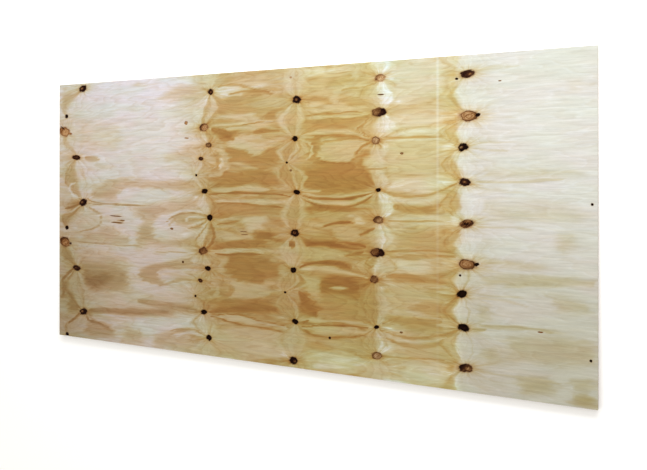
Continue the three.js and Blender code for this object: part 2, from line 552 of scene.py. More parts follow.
class Waves:
    """Smooth noise over the face: a sum of plane waves of its own."""

    def __init__(self, seed: int, along: float, across: float, count: int = 12) -> None:
        """Draws the waves.

        Args:
            seed: the seed of their lengths and phases.
            along: the usual wavelength along the grain, in mm.
            across: the usual wavelength across it, in mm.
            count: how many waves are summed.
        """
        draw = random.Random(seed)
        self.waves = [
            (
                FULL_TURN / (along * draw.uniform(0.6, 1.8)) * draw.choice((-1, 1)),
                FULL_TURN / (across * draw.uniform(0.6, 1.8)),
                draw.uniform(0, FULL_TURN),
            )
            for _ in range(count)
        ]

    def at(self, x: np.ndarray, y: np.ndarray) -> np.ndarray:
        """The waves' height.

        Args:
            x: places along the sheet, in mm.
            y: places across the sheet, in mm.

        Returns:
            The height at each place, mostly between -2 and 2.
        """
        height = np.zeros_like(x)
        for along, across, phase in self.waves:
            height += np.sin(along * x + across * y + phase)
        return height * math.sqrt(2 / len(self.waves))


class Grain:
    """Places on the face, and how far the waves of the grain move each of them, in mm.

    The bend is across the sheet and the slide along it. The fray is a finer bend, and the
    tongue a longer slide.
    """

    # The waves of each: their height in mm, their seed and their usual lengths in mm.
    BEND = ((7, 3, 420, 80), (2.6, 5, 130, 34))
    SLIDE = ((14, 4, 300, 160), (8, 8, 110, 34))
    FRAY = ((2.2, 14, 60, 22),)
    TONGUE = ((7, 31, 400, 30),)

    def __init__(self, x: np.ndarray, y: np.ndarray) -> None:
        """Works out the waves.

        Args:
            x: places along the sheet, in mm.
            y: places across the sheet, in mm.
        """
        self.x = x
        self.y = y
        self.bend = self._sum(self.BEND)
        self.slide = self._sum(self.SLIDE)
        self.fray = self._sum(self.FRAY)
        self.tongue = self.slide + self._sum(self.TONGUE)

    def _sum(self, rows: tuple[tuple[float, int, float, float], ...]) -> np.ndarray:
        """The height of some waves together."""
        return sum(height * Waves(*lengths).at(self.x, self.y) for height, *lengths in rows)


@dataclass(frozen=True)
class Patch:
    """A broad area of the face in one tone.

    Attributes:
        x: its middle along the sheet, in mm.
        y: its middle across the sheet, in mm.
        half_long: half its length, in mm.
        half_wide: half its width, in mm.
        tone: its tone, from 0, the palest early wood, to 1, the darkest late wood.
        strength: how far the wood is drawn to that tone, from 0 to 1.
    """

    x: float
    y: float
    half_long: float
    half_wide: float
    tone: float
    strength: float = 1.0

    # How square the patch is, where 2 is an oval.
    SQUARENESS = 2.6

    def lay(self, tone: np.ndarray, grain: Grain) -> None:
        """Draws the face to the patch's tone.

        Args:
            tone: the tones so far, changed in place.
            grain: the face's grain.
        """
        x, y = grain.x + grain.tongue, grain.y + grain.bend
        near = np.abs(y - self.y) < 2 * self.half_wide + 6
        near &= np.abs(x - self.x) < 2 * self.half_long
        ahead = np.abs(x[near] - self.x) / self.half_long
        aside = np.abs(y[near] - self.y) / self.half_wide
        out = (ahead**self.SQUARENESS + aside**self.SQUARENESS) ** (1 / self.SQUARENESS)
        soft = min(0.5, 9 / self.half_wide + 0.16)
        share = self.strength * (1 - smooth(1.0 - soft, 1.0 + soft, out))
        tone[near] += (self.tone - tone[near]) * share


@dataclass(frozen=True)
class Leaf:
    """A closed area of the face in one tone, with an outline of its own.

    Attributes:
        tone: its tone, from 0 to 1.
        soft: how far its edge fades, in mm.
        points: the corners of its outline, in mm.
    """

    tone: float
    soft: float
    points: tuple[Point, ...]

    STRENGTH = 0.92

    def lay(self, tone: np.ndarray, grain: Grain) -> None:
        """Draws the face to the leaf's tone.

        Args:
            tone: the tones so far, changed in place.
            grain: the face's grain.
        """
        x, y = grain.x + 2 * grain.fray, grain.y + 0.7 * grain.fray + 0.3 * grain.bend
        corners = self.points + self.points[:1]
        soft = 1.5 * self.soft
        near = box_round(x, y, corners, soft + 2)
        x, y = x[near], y[near]
        far, _ = line_reach(x, y, corners)
        inside = np.zeros(len(x), dtype=bool)
        for (x0, y0), (x1, y1) in zip(corners, corners[1:]):
            between = (y0 > y) != (y1 > y)
            inside ^= between & (x < x0 + (y - y0) * (x1 - x0) / (y1 - y0 or 1))
        share = smooth(-soft, soft, np.where(inside, far, -far))
        tone[near] += (self.tone - tone[near]) * self.STRENGTH * share


@dataclass(frozen=True)
class Strand:
    """A long thin spindle of the grain between two points, in one tone.

    Attributes:
        x0: its first point along the sheet, in mm.
        y0: its first point across the sheet, in mm.
        x1: its other point along the sheet, in mm.
        y1: its other point across the sheet, in mm.
        sag: how far its middle lies above the straight line, in mm.
        half_wide: half its width in the middle, in mm.
        tone: its tone, from 0 to 1.
        strength: how far the wood is drawn to that tone, from 0 to 1.
    """

    x0: float
    y0: float
    x1: float
    y1: float
    sag: float
    half_wide: float
    tone: float
    strength: float

    def lay(self, tone: np.ndarray, grain: Grain) -> None:
        """Draws the face to the strand's tone.

        Args:
            tone: the tones so far, changed in place.
            grain: the face's grain.
        """
        share = (grain.x - self.x0) / (self.x1 - self.x0)
        line = self.y0 + (self.y1 - self.y0) * share
        line += 4 * self.sag * share * (1 - share)
        near = (share > 0) & (share < 1) & (np.abs(grain.y - line) < 2 * self.half_wide + 12)
        share, line = share[near], line[near]
        taper = (4 * share * (1 - share)) ** 0.35
        aside = grain.y[near] + 0.45 * grain.bend[near] * taper - line
        out = np.abs(aside) / (self.half_wide * taper + 0.3)
        drawn = self.strength * (1 - smooth(0.45, 1.5, out))
        drawn *= smooth(0, 0.04, taper - 0.1)
        tone[near] += (self.tone - tone[near]) * drawn


@dataclass(frozen=True)
class Band:
    """A crooked line of the grain through a few points, in one tone.

    Attributes:
        half_wide: half its width, in mm.
        tone: its tone, from 0 to 1.
        points: the points, in mm.
    """

    half_wide: float
    tone: float
    points: tuple[Point, ...]

    def lay(self, tone: np.ndarray, grain: Grain) -> None:
        """Draws the face to the band's tone.

        Args:
            tone: the tones so far, changed in place.
            grain: the face's grain.
        """
        x, y = grain.x + grain.fray, grain.y + 0.3 * grain.fray
        near = box_round(x, y, self.points, 2 * self.half_wide + 6)
        far, along = line_reach(x[near], y[near], self.points)
        taper = (4 * along * (1 - along)) ** 0.3
        drawn = 1 - smooth(0.5, 1.6, far / (self.half_wide * taper + 0.3))
        tone[near] += (self.tone - tone[near]) * drawn


# Laid first, each over the ones before it.
PATCHES = tuple(Patch(*row) for row in (
    (-430, -540, 30, 16, 0.62, 0.9),
    (-210, 525, 90, 16, 0.12),
    (-160, 545, 120, 10, 0.1, 0.75),
    (-190, 465, 140, 42, 0.6),
    (-30, 420, 30, 20, 0.78, 0.95),
    (-250, 355, 60, 18, 0.84),
    (-150, 375, 120, 12, 0.3, 0.95),
    (-160, 300, 70, 38, 0.1),
    (-90, 285, 48, 34, 0.12),
    (-200, 255, 90, 24, 0.78),
    (-40, 250, 50, 50, 0.72),
    (-270, 220, 26, 52, 0.08),
    (-160, 150, 150, 36, 0.8),
    (-120, 115, 60, 12, 0.4, 0.85),
    (-50, 105, 30, 20, 0.74, 0.85),
    (-180, 28, 170, 22, 0.76),
    (-110, -30, 60, 22, 0.14),
    (-40, -50, 50, 16, 0.6, 0.85),
    (-60, -80, 50, 18, 0.94),
    (-210, -90, 90, 18, 0.26),
    (-190, -125, 130, 14, 0.82),
    (-200, -152, 140, 7, 0.12),
    (-150, -185, 110, 20, 0.72),
    (-260, -225, 30, 40, 0.3, 0.95),
    (-130, -240, 110, 46, 0.78),
    (-110, -310, 110, 34, 0.2),
    (-30, -330, 40, 30, 0.7, 0.85),
    (-180, -380, 150, 26, 0.76),
    (-180, -440, 160, 9, 0.22),
    (-160, -510, 160, 26, 0.18, 0.95),
    (-230, -565, 100, 30, 0.4, 0.85),
    (200, 590, 160, 20, 0.16, 0.85),
    (180, 520, 110, 30, 0.4, 0.75),
    (240, 432, 120, 8, 0.22, 0.95),
    (240, 380, 130, 22, 0.68),
    (150, 290, 30, 70, 0.66),
    (330, 230, 50, 24, 0.84, 0.95),
    (290, 165, 150, 46, 0.88),
    (200, 150, 60, 50, 0.8, 0.85),
    (240, 78, 140, 7, 0.92),
    (240, 60, 160, 10, 0.34),
    (250, 40, 150, 9, 0.86),
    (250, 10, 150, 16, 0.45, 0.95),
    (290, -55, 75, 32, 0.6),
    (200, -95, 130, 16, 0.9),
    (210, -150, 110, 24, 0.36, 0.95),
    (220, -185, 100, 9, 0.86),
    (300, -245, 100, 24, 0.84),
    (280, -300, 100, 20, 0.78, 0.95),
    (150, -350, 46, 44, 0.84),
    (290, -350, 110, 40, 0.56, 0.95),
    (240, -410, 130, 8, 0.26, 0.95),
    (240, -425, 140, 6, 0.72, 0.95),
    (240, -440, 150, 7, 0.3, 0.95),
    (220, -490, 140, 14, 0.3, 0.75),
    (170, -520, 80, 28, 0.6, 0.95),
    (280, -560, 160, 34, 0.16, 0.95),
    (-20, -540, 70, 36, 0.14, 0.95),
    (1000, 580, 120, 20, 0.02, 0.5),
    (940, 530, 110, 16, 0.24, 0.6),
    (1160, 480, 30, 20, 0.34, 0.6),
    (950, 250, 100, 50, 0.2, 0.5),
    (1000, 50, 160, 40, 0.34, 0.7),
    (1140, -50, 60, 40, 0.28, 0.5),
    (1000, -195, 150, 16, 0.4, 0.8),
    (1100, -260, 100, 40, 0.2, 0.5),
    (950, -365, 140, 6, 0.5, 0.7),
    (900, -470, 60, 40, 0.4, 0.6),
    (1080, -430, 150, 50, 0.34, 0.6),
    (860, -560, 60, 40, 0.3, 0.4),
    (1020, -560, 80, 36, 0.36, 0.6),
    (1180, -530, 40, 40, 0.4, 0.6),
    (1180, -585, 40, 14, 0.6, 0.8),
    (265, 272, 88, 46, 0.16),
    (715, 390, 20, 13, 0.02),
    (700, 276, 20, 13, 0.02),
    (713, -6, 20, 13, 0.02),
    (712, -145, 18, 12, 0.06),
    (372, 0, 22, 12, 0.1),
    (-1135, -45, 52, 44, 0.1, 0.7),
))

# Laid over the patches. The points are X and Y in turn.
LEAVES = tuple(Leaf(tone, soft, pairs(points)) for tone, soft, *points in (
    (0.12, 14, -1130, 545, -1060, 560, -980, 530, -940, 480, -1010, 460, -1110, 480),
    (0.15, 26, -1140, 450, -900, 446, -640, 460, -420, 440, -420, 340, -640, 330, -860, 300, -1140, 280),
    (0.36, 14, -590, 262, -480, 284, -400, 292, -400, 246, -560, 238),
    (0.42, 14, -620, 520, -500, 570, -400, 560, -400, 500, -520, 500),
    (0.4, 14, -960, -70, -880, -64, -850, -100, -880, -136, -960, -130),
    (0.28, 16, -1090, 430, -960, 425, -850, 400, -820, 340, -870, 285, -1000, 280, -1080, 320),
    (0.16, 16, -830, 260, -740, 300, -620, 300, -600, 240, -700, 190, -840, 205),
    (0.1, 6, -860, 186, -760, 190, -600, 176, -430, 170, -430, 156, -640, 154, -800, 164),
    (0.46, 8, -1010, 88, -920, 140, -800, 154, -620, 148, -430, 146, -430, 112, -620, 106, -800, 112,
     -870, 80, -950, 64, -1010, 66),
    (0.56, 14, -1010, 84, -930, 92, -860, 96, -830, 82, -900, 66, -1000, 66),
    (0.08, 7, -860, 78, -790, 98, -600, 104, -540, 84, -560, 54, -700, 46, -850, 54),
    (0.44, 12, -790, 22, -640, 46, -430, 66, -430, 20, -520, 6, -600, -12, -648, -50, -640, -106,
     -560, -122, -430, -118, -430, -142, -620, -152, -740, -152, -730, -90, -704, -40, -744, 4),
    (0.5, 16, -720, -60, -670, -50, -656, -110, -690, -140, -730, -120),
    (0.1, 9, -636, -40, -590, -14, -530, -24, -500, -60, -490, -100, -560, -112, -626, -104),
    (0.5, 8, -540, -20, -500, 0, -420, 4, -410, -30, -460, -44, -520, -46),
    (0.14, 12, -830, 8, -770, 10, -750, -60, -756, -180, -860, -190, -850, -110, -800, -60),
    (0.28, 9, -1064, 20, -1010, 0, -962, -30, -966, -62, -1010, -84, -1100, -96, -1120, -40),
    (0.44, 9, -1050, -100, -900, -96, -790, -110, -780, -146, -900, -150, -1080, -146),
    (0.14, 9, -790, -196, -640, -180, -470, -176, -430, -196, -560, -216, -700, -240, -790, -236),
    (0.56, 6, -430, -192, -520, -206, -640, -232, -720, -262, -730, -286, -700, -310, -600, -326,
     -560, -318, -610, -290, -620, -262, -560, -240, -430, -226),
    (0.12, 7, -700, -330, -560, -336, -430, -346, -430, -364, -560, -358, -700, -352),
    (0.5, 40, -1084, -212, -900, -215, -810, -245, -790, -385, -900, -405, -1050, -420),
    (0.62, 18, -1068, -262, -960, -256, -860, -254, -800, -282, -798, -338, -860, -362, -930, -354,
     -1000, -380, -1056, -352),
    (0.84, 14, -1054, -300, -980, -308, -930, -292, -880, -310, -930, -338, -1000, -362, -1048, -342),
    (0.26, 10, -1040, -384, -860, -376, -640, -382, -470, -376, -600, -412, -860, -430, -1010, -430),
    (0.56, 14, -1044, -474, -960, -456, -860, -440, -700, -430, -560, -408, -420, -400, -420, -432,
     -520, -440, -534, -466, -700, -478, -860, -484, -1040, -492),
    (0.0, 14, -740, -486, -560, -472, -430, -448, -430, -500, -560, -520, -640, -550, -760, -530),
    (0.5, 12, -1030, -508, -980, -516, -900, -532, -862, -560, -880, -588, -1000, -600, -1060, -580),
    (0.44, 14, -800, -530, -720, -536, -700, -600, -830, -606),
    (0.44, 12, -640, -556, -560, -530, -460, -526, -400, -560, -440, -606, -640, -606),
    (0.56, 12, -1205, 560, -1150, 575, -1100, 560, -1130, 525, -1150, 500, -1200, 500),
    (0.54, 16, -1180, 215, -1140, 225, -1120, 190, -1060, 165, -1066, 140, -1150, 136, -1185, 150),
    (0.7, 12, -1130, 50, -1086, 54, -1084, 30, -1110, 0, -1160, -6, -1180, 14),
    (0.66, 10, -1190, -216, -1150, -205, -1125, -220, -1140, -256, -1190, -250),
    (0.68, 14, -1165, -398, -1130, -392, -1110, -430, -1086, -452, -1100, -490, -1160, -500),
    (0.84, 12, -1205, -330, -1176, -350, -1180, -420, -1206, -430),
    (0.72, 6, -172, 516, -130, 526, -70, 520, -46, 508, -90, 500, -170, 502),
    (0.64, 6, -306, 508, -250, 500, -180, 502, -116, 490, -92, 462, -112, 440, -210, 438, -296, 440,
     -290, 470),
    (0.38, 5, -172, 468, -90, 482, 0, 494, 10, 452, -80, 456, -120, 462),
    (0.24, 6, -300, 432, -200, 430, -120, 434, -96, 416, -84, 392, -120, 398, -240, 416),
    (0.8, 6, -276, 366, -236, 368, -176, 352, -214, 342, -232, 316, -268, 312, -290, 340),
    (0.2, 5, -245, 312, -216, 338, -160, 346, -92, 338, -60, 318, -62, 286, -84, 256, -110, 247,
     -140, 257, -160, 284, -202, 288),
    (0.46, 4, -156, 322, -100, 325, -60, 320, -60, 312, -130, 313),
    (0.74, 6, -255, 282, -206, 286, -158, 280, -136, 252, -110, 242, -80, 251, -54, 286, 0, 290, 0, 214,
     -60, 206, -120, 212, -130, 226, -236, 234),
    (0.78, 6, -292, 136, -240, 180, -180, 190, -140, 202, -60, 206, -16, 182, -20, 152, -90, 150,
     -120, 141, -180, 146, -240, 132, -300, 120),
    (0.64, 5, -310, 50, -200, 42, -60, 44, 20, 36, 0, 6, -90, 0, -240, 8, -300, 20),
    (0.16, 8, -164, -10, -110, -4, -70, -20, -76, -44, -140, -48, -170, -32),
    (0.92, 9, -122, -64, -80, -56, -40, -72, -50, -96, -110, -98),
    (0.78, 6, -240, -172, -160, -160, -60, -172, 0, -196, 0, -244, -60, -252, -72, -282, -160, -283,
     -202, -262, -242, -236),
    (0.24, 6, -252, -256, -204, -272, -150, -292, -60, -290, -26, -302, -60, -340, -130, -350, -232, -352,
     -220, -316),
    (0.74, 8, -300, -382, -200, -364, -60, -356, 20, -366, 30, -396, -100, -410, -280, -408),
    (0.3, 14, -300, -486, -100, -476, 20, -480, 20, -560, -100, -590, -300, -560),
    (0.26, 7, 330, 572, 350, 580, 358, 556, 346, 540, 334, 550),
    (0.72, 6, 160, 330, 190, 334, 198, 300, 176, 268, 180, 240, 162, 214, 150, 270),
    (0.64, 4, 200, 322, 280, 334, 360, 330, 400, 316, 330, 320, 260, 316),
    (0.8, 5, 166, 222, 200, 232, 340, 218, 380, 250, 372, 210, 300, 204, 190, 206),
    (0.82, 12, 120, 200, 170, 195, 250, 205, 360, 214, 394, 196, 408, 152, 380, 126, 300, 116, 200, 114,
     150, 120, 126, 160),
    (0.84, 4, 150, 44, 240, 38, 340, 46, 360, 34, 240, 26, 150, 32),
    (0.88, 5, 104, -96, 150, -80, 210, -86, 330, -102, 400, -104, 300, -113, 150, -119, 104, -112),
    (0.28, 7, 130, -134, 220, -126, 300, -130, 260, -160, 160, -168),
    (0.26, 7, 150, -236, 190, -232, 186, -280, 196, -330, 150, -320, 128, -300),
    (0.84, 6, 104, -304, 130, -302, 154, -334, 184, -372, 170, -396, 110, -394, 116, -350),
    (0.26, 12, 500, 600, 700, 600, 690, 470, 560, 450, 500, 470),
    (0.38, 9, 470, 440, 600, 432, 720, 452, 715, 418, 600, 396, 480, 402),
    (0.08, 6, 480, 326, 560, 346, 640, 352, 690, 362, 740, 350, 680, 330, 560, 318),
    (0.3, 14, 480, 300, 560, 310, 700, 300, 690, 250, 676, 190, 600, 172, 500, 178, 470, 230),
    (0.12, 6, 480, 124, 500, 150, 560, 164, 690, 172, 735, 152, 700, 124, 600, 114, 500, 112),
    (0.26, 6, 480, 92, 600, 92, 700, 100, 690, 74, 600, 66, 520, 70),
    (0.16, 6, 480, 18, 600, 24, 735, 18, 735, -14, 600, -20, 490, -8),
    (0.54, 10, 520, -34, 620, -30, 716, -46, 706, -96, 600, -104, 500, -100, 560, -70),
    (0.18, 5, 500, -160, 520, -146, 560, -138, 610, -144, 632, -164, 600, -186, 540, -184),
    (0.66, 6, 480, -206, 600, -202, 700, -210, 735, -222, 620, -230, 500, -228),
    (0.34, 12, 490, -250, 640, -244, 600, -290, 520, -340, 480, -320),
    (0.58, 9, 600, -296, 690, -286, 706, -326, 660, -340, 590, -330),
    (0.64, 7, 500, -374, 600, -366, 700, -378, 690, -398, 560, -402),
    (0.44, 12, 470, -450, 600, -440, 716, -470, 700, -520, 560, -512, 470, -500),
    (0.22, 14, 550, -536, 700, -530, 716, -600, 540, -600),
    (0.26, 1.5, 178, 262, 192, 290, 208, 306, 262, 310, 330, 317, 365, 316, 400, 304, 374, 286, 352, 262,
     338, 240, 325, 222, 298, 219, 215, 225, 190, 238),
    (0.36, 16, 840, 60, 1000, 64, 1160, 60, 1210, 44, 1150, 20, 1000, 14, 860, 16),
    (0.4, 14, 850, 196, 1000, 200, 1150, 190, 1180, 172, 1000, 162, 850, 168),
    (0.44, 14, 830, -120, 960, -124, 1060, -140, 1000, -156, 850, -150),
    (0.56, 12, 820, -220, 900, -208, 1000, -212, 1100, -196, 1210, -190, 1210, -178, 1040, -172,
     900, -190),
    (0.46, 14, 1060, -240, 1180, -250, 1200, -290, 1100, -290),
    (0.46, 12, 820, -290, 860, -296, 866, -330, 830, -340),
    (0.46, 20, 930, -400, 1100, -376, 1210, -390, 1210, -460, 1060, -480, 930, -470),
    (0.5, 14, 840, -450, 880, -440, 900, -480, 860, -500),
    (0.54, 16, 960, -530, 1060, -526, 1080, -570, 980, -590),
    (0.46, 12, 1130, -520, 1190, -508, 1210, -540, 1150, -556),
    (0.7, 14, 1150, -575, 1190, -570, 1212, -588, 1180, -600, 1150, -596),
    (0.4, 16, 1090, -30, 1140, -24, 1150, -60, 1110, -100, 1090, -80),
    (0.12, 9, 500, -150, 560, -140, 640, -148, 654, -174, 600, -194, 520, -188),
    (0.16, 12, 480, 395, 600, 400, 690, 400, 690, 366, 600, 360, 480, 372),
    (0.3, 8, 242, -28, 300, -24, 366, -38, 376, -68, 336, -94, 282, -86, 252, -60),
))

# Laid over the leaves, and under the eyes of the whorls.
STRANDS = tuple(Strand(*row) for row in (
    (-300, 548, -90, 520, 22, 4, 0.86, 0.8),
    (-240, 520, -20, 505, 14, 7, 0.92, 0.8),
    (-318, 415, -110, 432, 4, 6, 0.18, 0.8),
    (-335, 388, -20, 398, -4, 5, 0.2, 1),
    (-270, 372, -60, 396, -6, 3, 0.93, 0.9),
    (-300, 362, -90, 362, 3, 8, 0.2, 0.9),
    (-330, 372, -215, 325, 8, 14, 0.94, 0.9),
    (-120, 350, 10, 352, 6, 9, 0.9, 0.8),
    (-330, 108, -40, 112, 2, 10, 0.2, 0.9),
    (-345, 92, 60, 84, 10, 4, 0.97, 1),
    (-315, 58, 60, 62, 4, 9, 0.18, 0.9),
    (-300, 48, 60, 36, 10, 4, 0.95, 0.9),
    (-310, -22, -205, -6, 4, 5, 0.21, 0.9),
    (-300, -40, -190, -20, -3, 4, 0.92, 0.8),
    (-325, -142, -55, -106, 8, 13, 0.82, 1),
    (-335, -151, -110, -143, 4, 4, 0.2, 1),
    (-335, -158, -60, -155, -2, 3, 0.16, 0.9),
    (-312, -165, -80, -158, -5, 5, 0.93, 1),
    (-400, -174, -640, -172, -2, 2, 0.6, 0.8),
    (-345, -232, -640, -250, 12, 10, 0.5, 0.8),
    (-350, -300, -620, -335, 24, 5, 0.55, 0.8),
    (-340, -420, 60, -372, 10, 16, 0.92, 0.9),
    (-335, -432, 60, -452, 16, 3, 0.97, 1),
    (-320, -442, 60, -458, 14, 7, 0.2, 1),
    (-340, -436, 60, -470, -10, 4, 0.92, 0.9),
    (-395, -424, -740, -406, 6, 15, 0.6, 0.8),
    (-390, -512, -560, -548, 14, 5, 0.55, 0.8),
    (-400, -520, -520, -552, 8, 4, 0.14, 0.8),
    (390, 422, 120, 412, 2, 2.5, 0.9, 0.8),
    (398, 408, 110, 404, -2, 6, 0.18, 0.8),
    (98, 324, 405, 316, 32, 8, 0.2, 0.95),
    (110, 322, 405, 312, 16, 4, 0.93, 0.9),
    (95, 316, 165, 326, 0, 6, 0.2, 0.8),
    (106, 100, 425, 112, -14, 3, 0.18, 1),
    (115, 88, 420, 104, -16, 5, 0.97, 1),
    (100, 90, 425, 106, -38, 6, 0.19, 1),
    (104, 80, 420, 96, -46, 5, 0.94, 1),
    (105, 110, 190, 110, 0, 6, 0.24, 0.9),
    (480, 0, 740, -2, 0, 4, 0.86, 0.8),
    (200, -38, 345, -14, 16, 6, 0.97, 0.95),
    (105, -112, 390, -104, 8, 12, 0.97, 1),
    (380, -122, 300, -146, 2, 8, 0.95, 0.8),
    (100, -205, 330, -190, 22, 8, 0.94, 1),
    (100, -212, 400, -226, 20, 8, 0.18, 1),
    (190, -268, 360, -262, 8, 34, 0.93, 0.9),
    (226, -271, 312, -270, 0, 3.5, 0.22, 0.9),
    (242, -271, 298, -270, 0, 8, 0.2, 1),
    (108, -414, 400, -404, 6, 5, 0.18, 0.9),
    (108, -438, 400, -416, -2, 3.5, 0.97, 1),
    (108, -446, 410, -430, -4, 6, 0.18, 0.9),
    (108, -452, 400, -440, -18, 4, 0.94, 0.9),
    (95, -305, 185, -390, -4, 22, 0.93, 0.9),
    (470, -214, 745, -228, 8, 10, 0.76, 0.8),
    (470, -118, 745, -112, 4, 5, 0.8, 0.8),
    (480, -136, 745, -124, -4, 6, 0.78, 0.7),
    (480, -376, 690, -366, 0, 12, 0.7, 0.7),
    (440, -516, 700, -508, -4, 4, 0.85, 0.7),
    (470, 318, 740, 316, -4, 4, 0.86, 0.7),
    (470, 306, 740, 300, 0, 4, 0.08, 0.7),
    (815, 152, 1120, 160, -6, 5, 0.5, 0.8),
    (820, -365, 1080, -368, 8, 5, 0.6, 0.9),
    (800, -380, 850, -378, 0, 6, 0.75, 0.8),
    (820, -250, 980, -256, 0, 5, 0.5, 0.6),
    (830, -528, 1100, -540, 0, 4, 0.5, 0.7),
    (830, -200, 1210, -195, 14, 14, 0.42, 0.7),
    (-1056, 252, -966, 244, 0, 13, 0.52, 0.9),
    (-1030, 36, -690, 30, 0, 3, 0.62, 0.9),
    (-1030, -474, -560, -444, 2, 13, 0.72, 0.85),
    (-1010, -490, -780, -488, 2, 3, 0.05, 0.9),
    (-1030, -500, -880, -555, -6, 6, 0.58, 0.9),
    (-1130, -150, -700, -158, 3, 3, 0.6, 0.8),
    (-850, -38, -812, -40, 0, 2.5, 0.85, 1),
    (-890, -48, -815, -50, 0, 2.5, 0.85, 1),
    (-440, 10, -560, -60, 16, 10, 0.52, 0.8),
    (805, 290, 960, 296, 4, 4, 0.42, 0.7),
    (805, 270, 930, 260, -4, 4, 0.5, 0.7),
    (812, 132, 1010, 112, -6, 5, 0.4, 0.6),
    (815, 548, 970, 562, 6, 7, 0.4, 0.7),
    (830, 382, 960, 376, 0, 4, 0.4, 0.6),
    (812, -8, 1010, -16, 3, 5, 0.4, 0.7),
    (800, -266, 1000, -286, 6, 6, 0.42, 0.7),
    (800, -160, 900, -176, 0, 6, 0.42, 0.6),
))

# Laid last, over the eyes. The points are X and Y in turn.
BANDS = tuple(Band(half_wide, tone, pairs(points)) for half_wide, tone, *points in (
    (13, 0.3, 405, 522, 300, 516, 262, 500, 250, 472, 272, 450, 320, 438),
    (2.5, 0.66, 430, 528, 380, 514, 300, 512, 282, 500),
    (3, 0.7, 402, 398, 380, 372, 352, 356, 366, 338, 400, 318),
    (15, 0.14, 470, 300, 466, 268, 436, 240, 416, 212),
    (9, 0.14, 425, 190, 452, 176, 472, 150, 452, 124),
    (2.5, 0.7, 345, 206, 395, 196, 470, 200),
    (14, 0.06, 450, 106, 476, 76, 486, 42, 472, 12),
    (5, 0.86, 425, -30, 395, -45, 360, -62),
    (4, 0.66, 412, -140, 392, -150, 390, -168, 406, -184, 424, -172),
    (8, 0.12, 462, -134, 440, -170),
    (6, 0.66, 405, -246, 374, -272, 370, -300, 380, -330),
    (9, 0.18, 452, -345, 450, -402),
    (12, 0.28, 450, -416, 482, -450, 545, -486),
    (7, 0.28, 440, -416, 462, -452, 478, -480),
    (3, 0.6, 408, -525, 380, -532, 350, -528, 335, -512),
    (10, 0.32, -330, 290, -300, 288, -262, 258, -252, 215, -285, 176, -345, 168),
    (7, 0.62, -318, 268, -296, 244, -296, 205, -330, 186),
    (4, 0.62, -315, -240, -272, -262, -262, -285),
    (9, 0.3, -330, -292, -300, -300, -296, -335, -330, -362),
    (9, 0.62, -240, -300, -222, -315, -250, -345, -300, -366),
    (5, 0.22, 100, 318, 150, 300, 158, 262, 128, 232),
    (8, 0.66, 44, 210, 20, 200, 18, 172, 40, 158),
    (2.5, 0.9, 112, -420, 140, -412, 112, -428),
    (5, 0.3, -1140, 248, -1168, 222, -1186, 185, -1186, 140),
    (5, 0.04, -1085, 60, -1136, 78, -1156, 104, -1146, 126, -1115, 132),
    (4, 0.2, -1085, 26, -1138, -4, -1182, -14),
    (3, 0.9, -1090, 34, -1140, 14, -1190, 8),
    (4, 0.74, -1086, 20, -1130, -18, -1170, -34),
    (5, 0.84, -1088, -492, -1125, -524, -1165, -548),
    (5, 0.3, -1090, -484, -1130, -506, -1175, -512),
    (7, 0.8, -1130, -282, -1165, -308, -1205, -342),
    (5, 0.75, -1050, -506, -1022, -524, -960, -530, -905, -548),
    (2, 0.75, -1045, 62, -1010, 45, -960, 38, -820, 32, -690, 30),
    (15, 0.94, 52, -112, 66, -109, 80, -110),
    (3, 0.66, 178, 262, 192, 290, 208, 306, 262, 310, 330, 317, 365, 316),
    (3.5, 0.9, 176, 260, 190, 238, 215, 225, 298, 219, 325, 222, 338, 240, 352, 262),
    (4, 0.55, -1044, 24, -1008, 8, -960, -12, -948, -40, -965, -66, -1010, -86, -1090, -100),
    (8, 0.1, 680, 388, 742, 388),
    (9, 0.08, 676, 276, 740, 276),
    (10, 0.08, 668, 148, 750, 148),
    (9, 0.1, 674, -3, 750, -3),
    (8, 0.12, 684, -150, 746, -150),
    (6, 0.16, 676, -256, 740, -257),
    (5, 0.2, 676, -377, 742, -378),
    (4, 0.1, -352, 2, -390, 14, -430, 16, -500, 12, -560, -12, -600, -40),
    (3.5, 0.66, -352, -4, -395, 4, -440, 6, -490, 2, -540, -14, -570, -40),
    (3, 0.14, -354, -12, -400, -12, -440, -10, -462, -20, -455, -32),
    (3, 0.66, -354, -18, -395, -22, -430, -22),
    (3.5, 0.14, -354, -24, -395, -36, -430, -48, -460, -52),
    (3, 0.64, -352, -28, -385, -46, -420, -58, -450, -62),
    (3.5, 0.14, -350, -32, -380, -60, -410, -84, -430, -96),
    (3, 0.58, -346, -36, -372, -70, -400, -98, -418, -120),
    (7, 0.85, -334, -40, -318, -62, -314, -92, -326, -122, -352, -146),
    (3, 0.6, -356, -524, -400, -508, -450, -504, -500, -510, -540, -520),
    (3.5, 0.14, -358, -530, -400, -522, -450, -522, -500, -534, -530, -540),
    (3, 0.62, -360, -538, -400, -536, -430, -540, -444, -552, -420, -560),
    (14, 0.72, 500, 56, 540, 46, 600, 42, 650, 48, 684, 62),
    (6, 0.14, 450, 110, 500, 82, 560, 72, 640, 80, 690, 98),
    (4, 0.68, 452, 118, 500, 97, 560, 92, 640, 100, 700, 122, 748, 148),
    (4, 0.68, 445, -418, 500, -432, 560, -438, 640, -428, 700, -410, 748, -390),
    (4, 0.2, 450, -428, 510, -446, 570, -452, 650, -440, 705, -422),
    (7, 0.64, 470, -448, 530, -466, 600, -468, 660, -455, 690, -440),
    (4, 0.74, 230, -34, 244, -64, 268, -90, 318, -103, 384, -108),
    (4, 0.8, 336, 232, 350, 262, 372, 284, 408, 300),
))


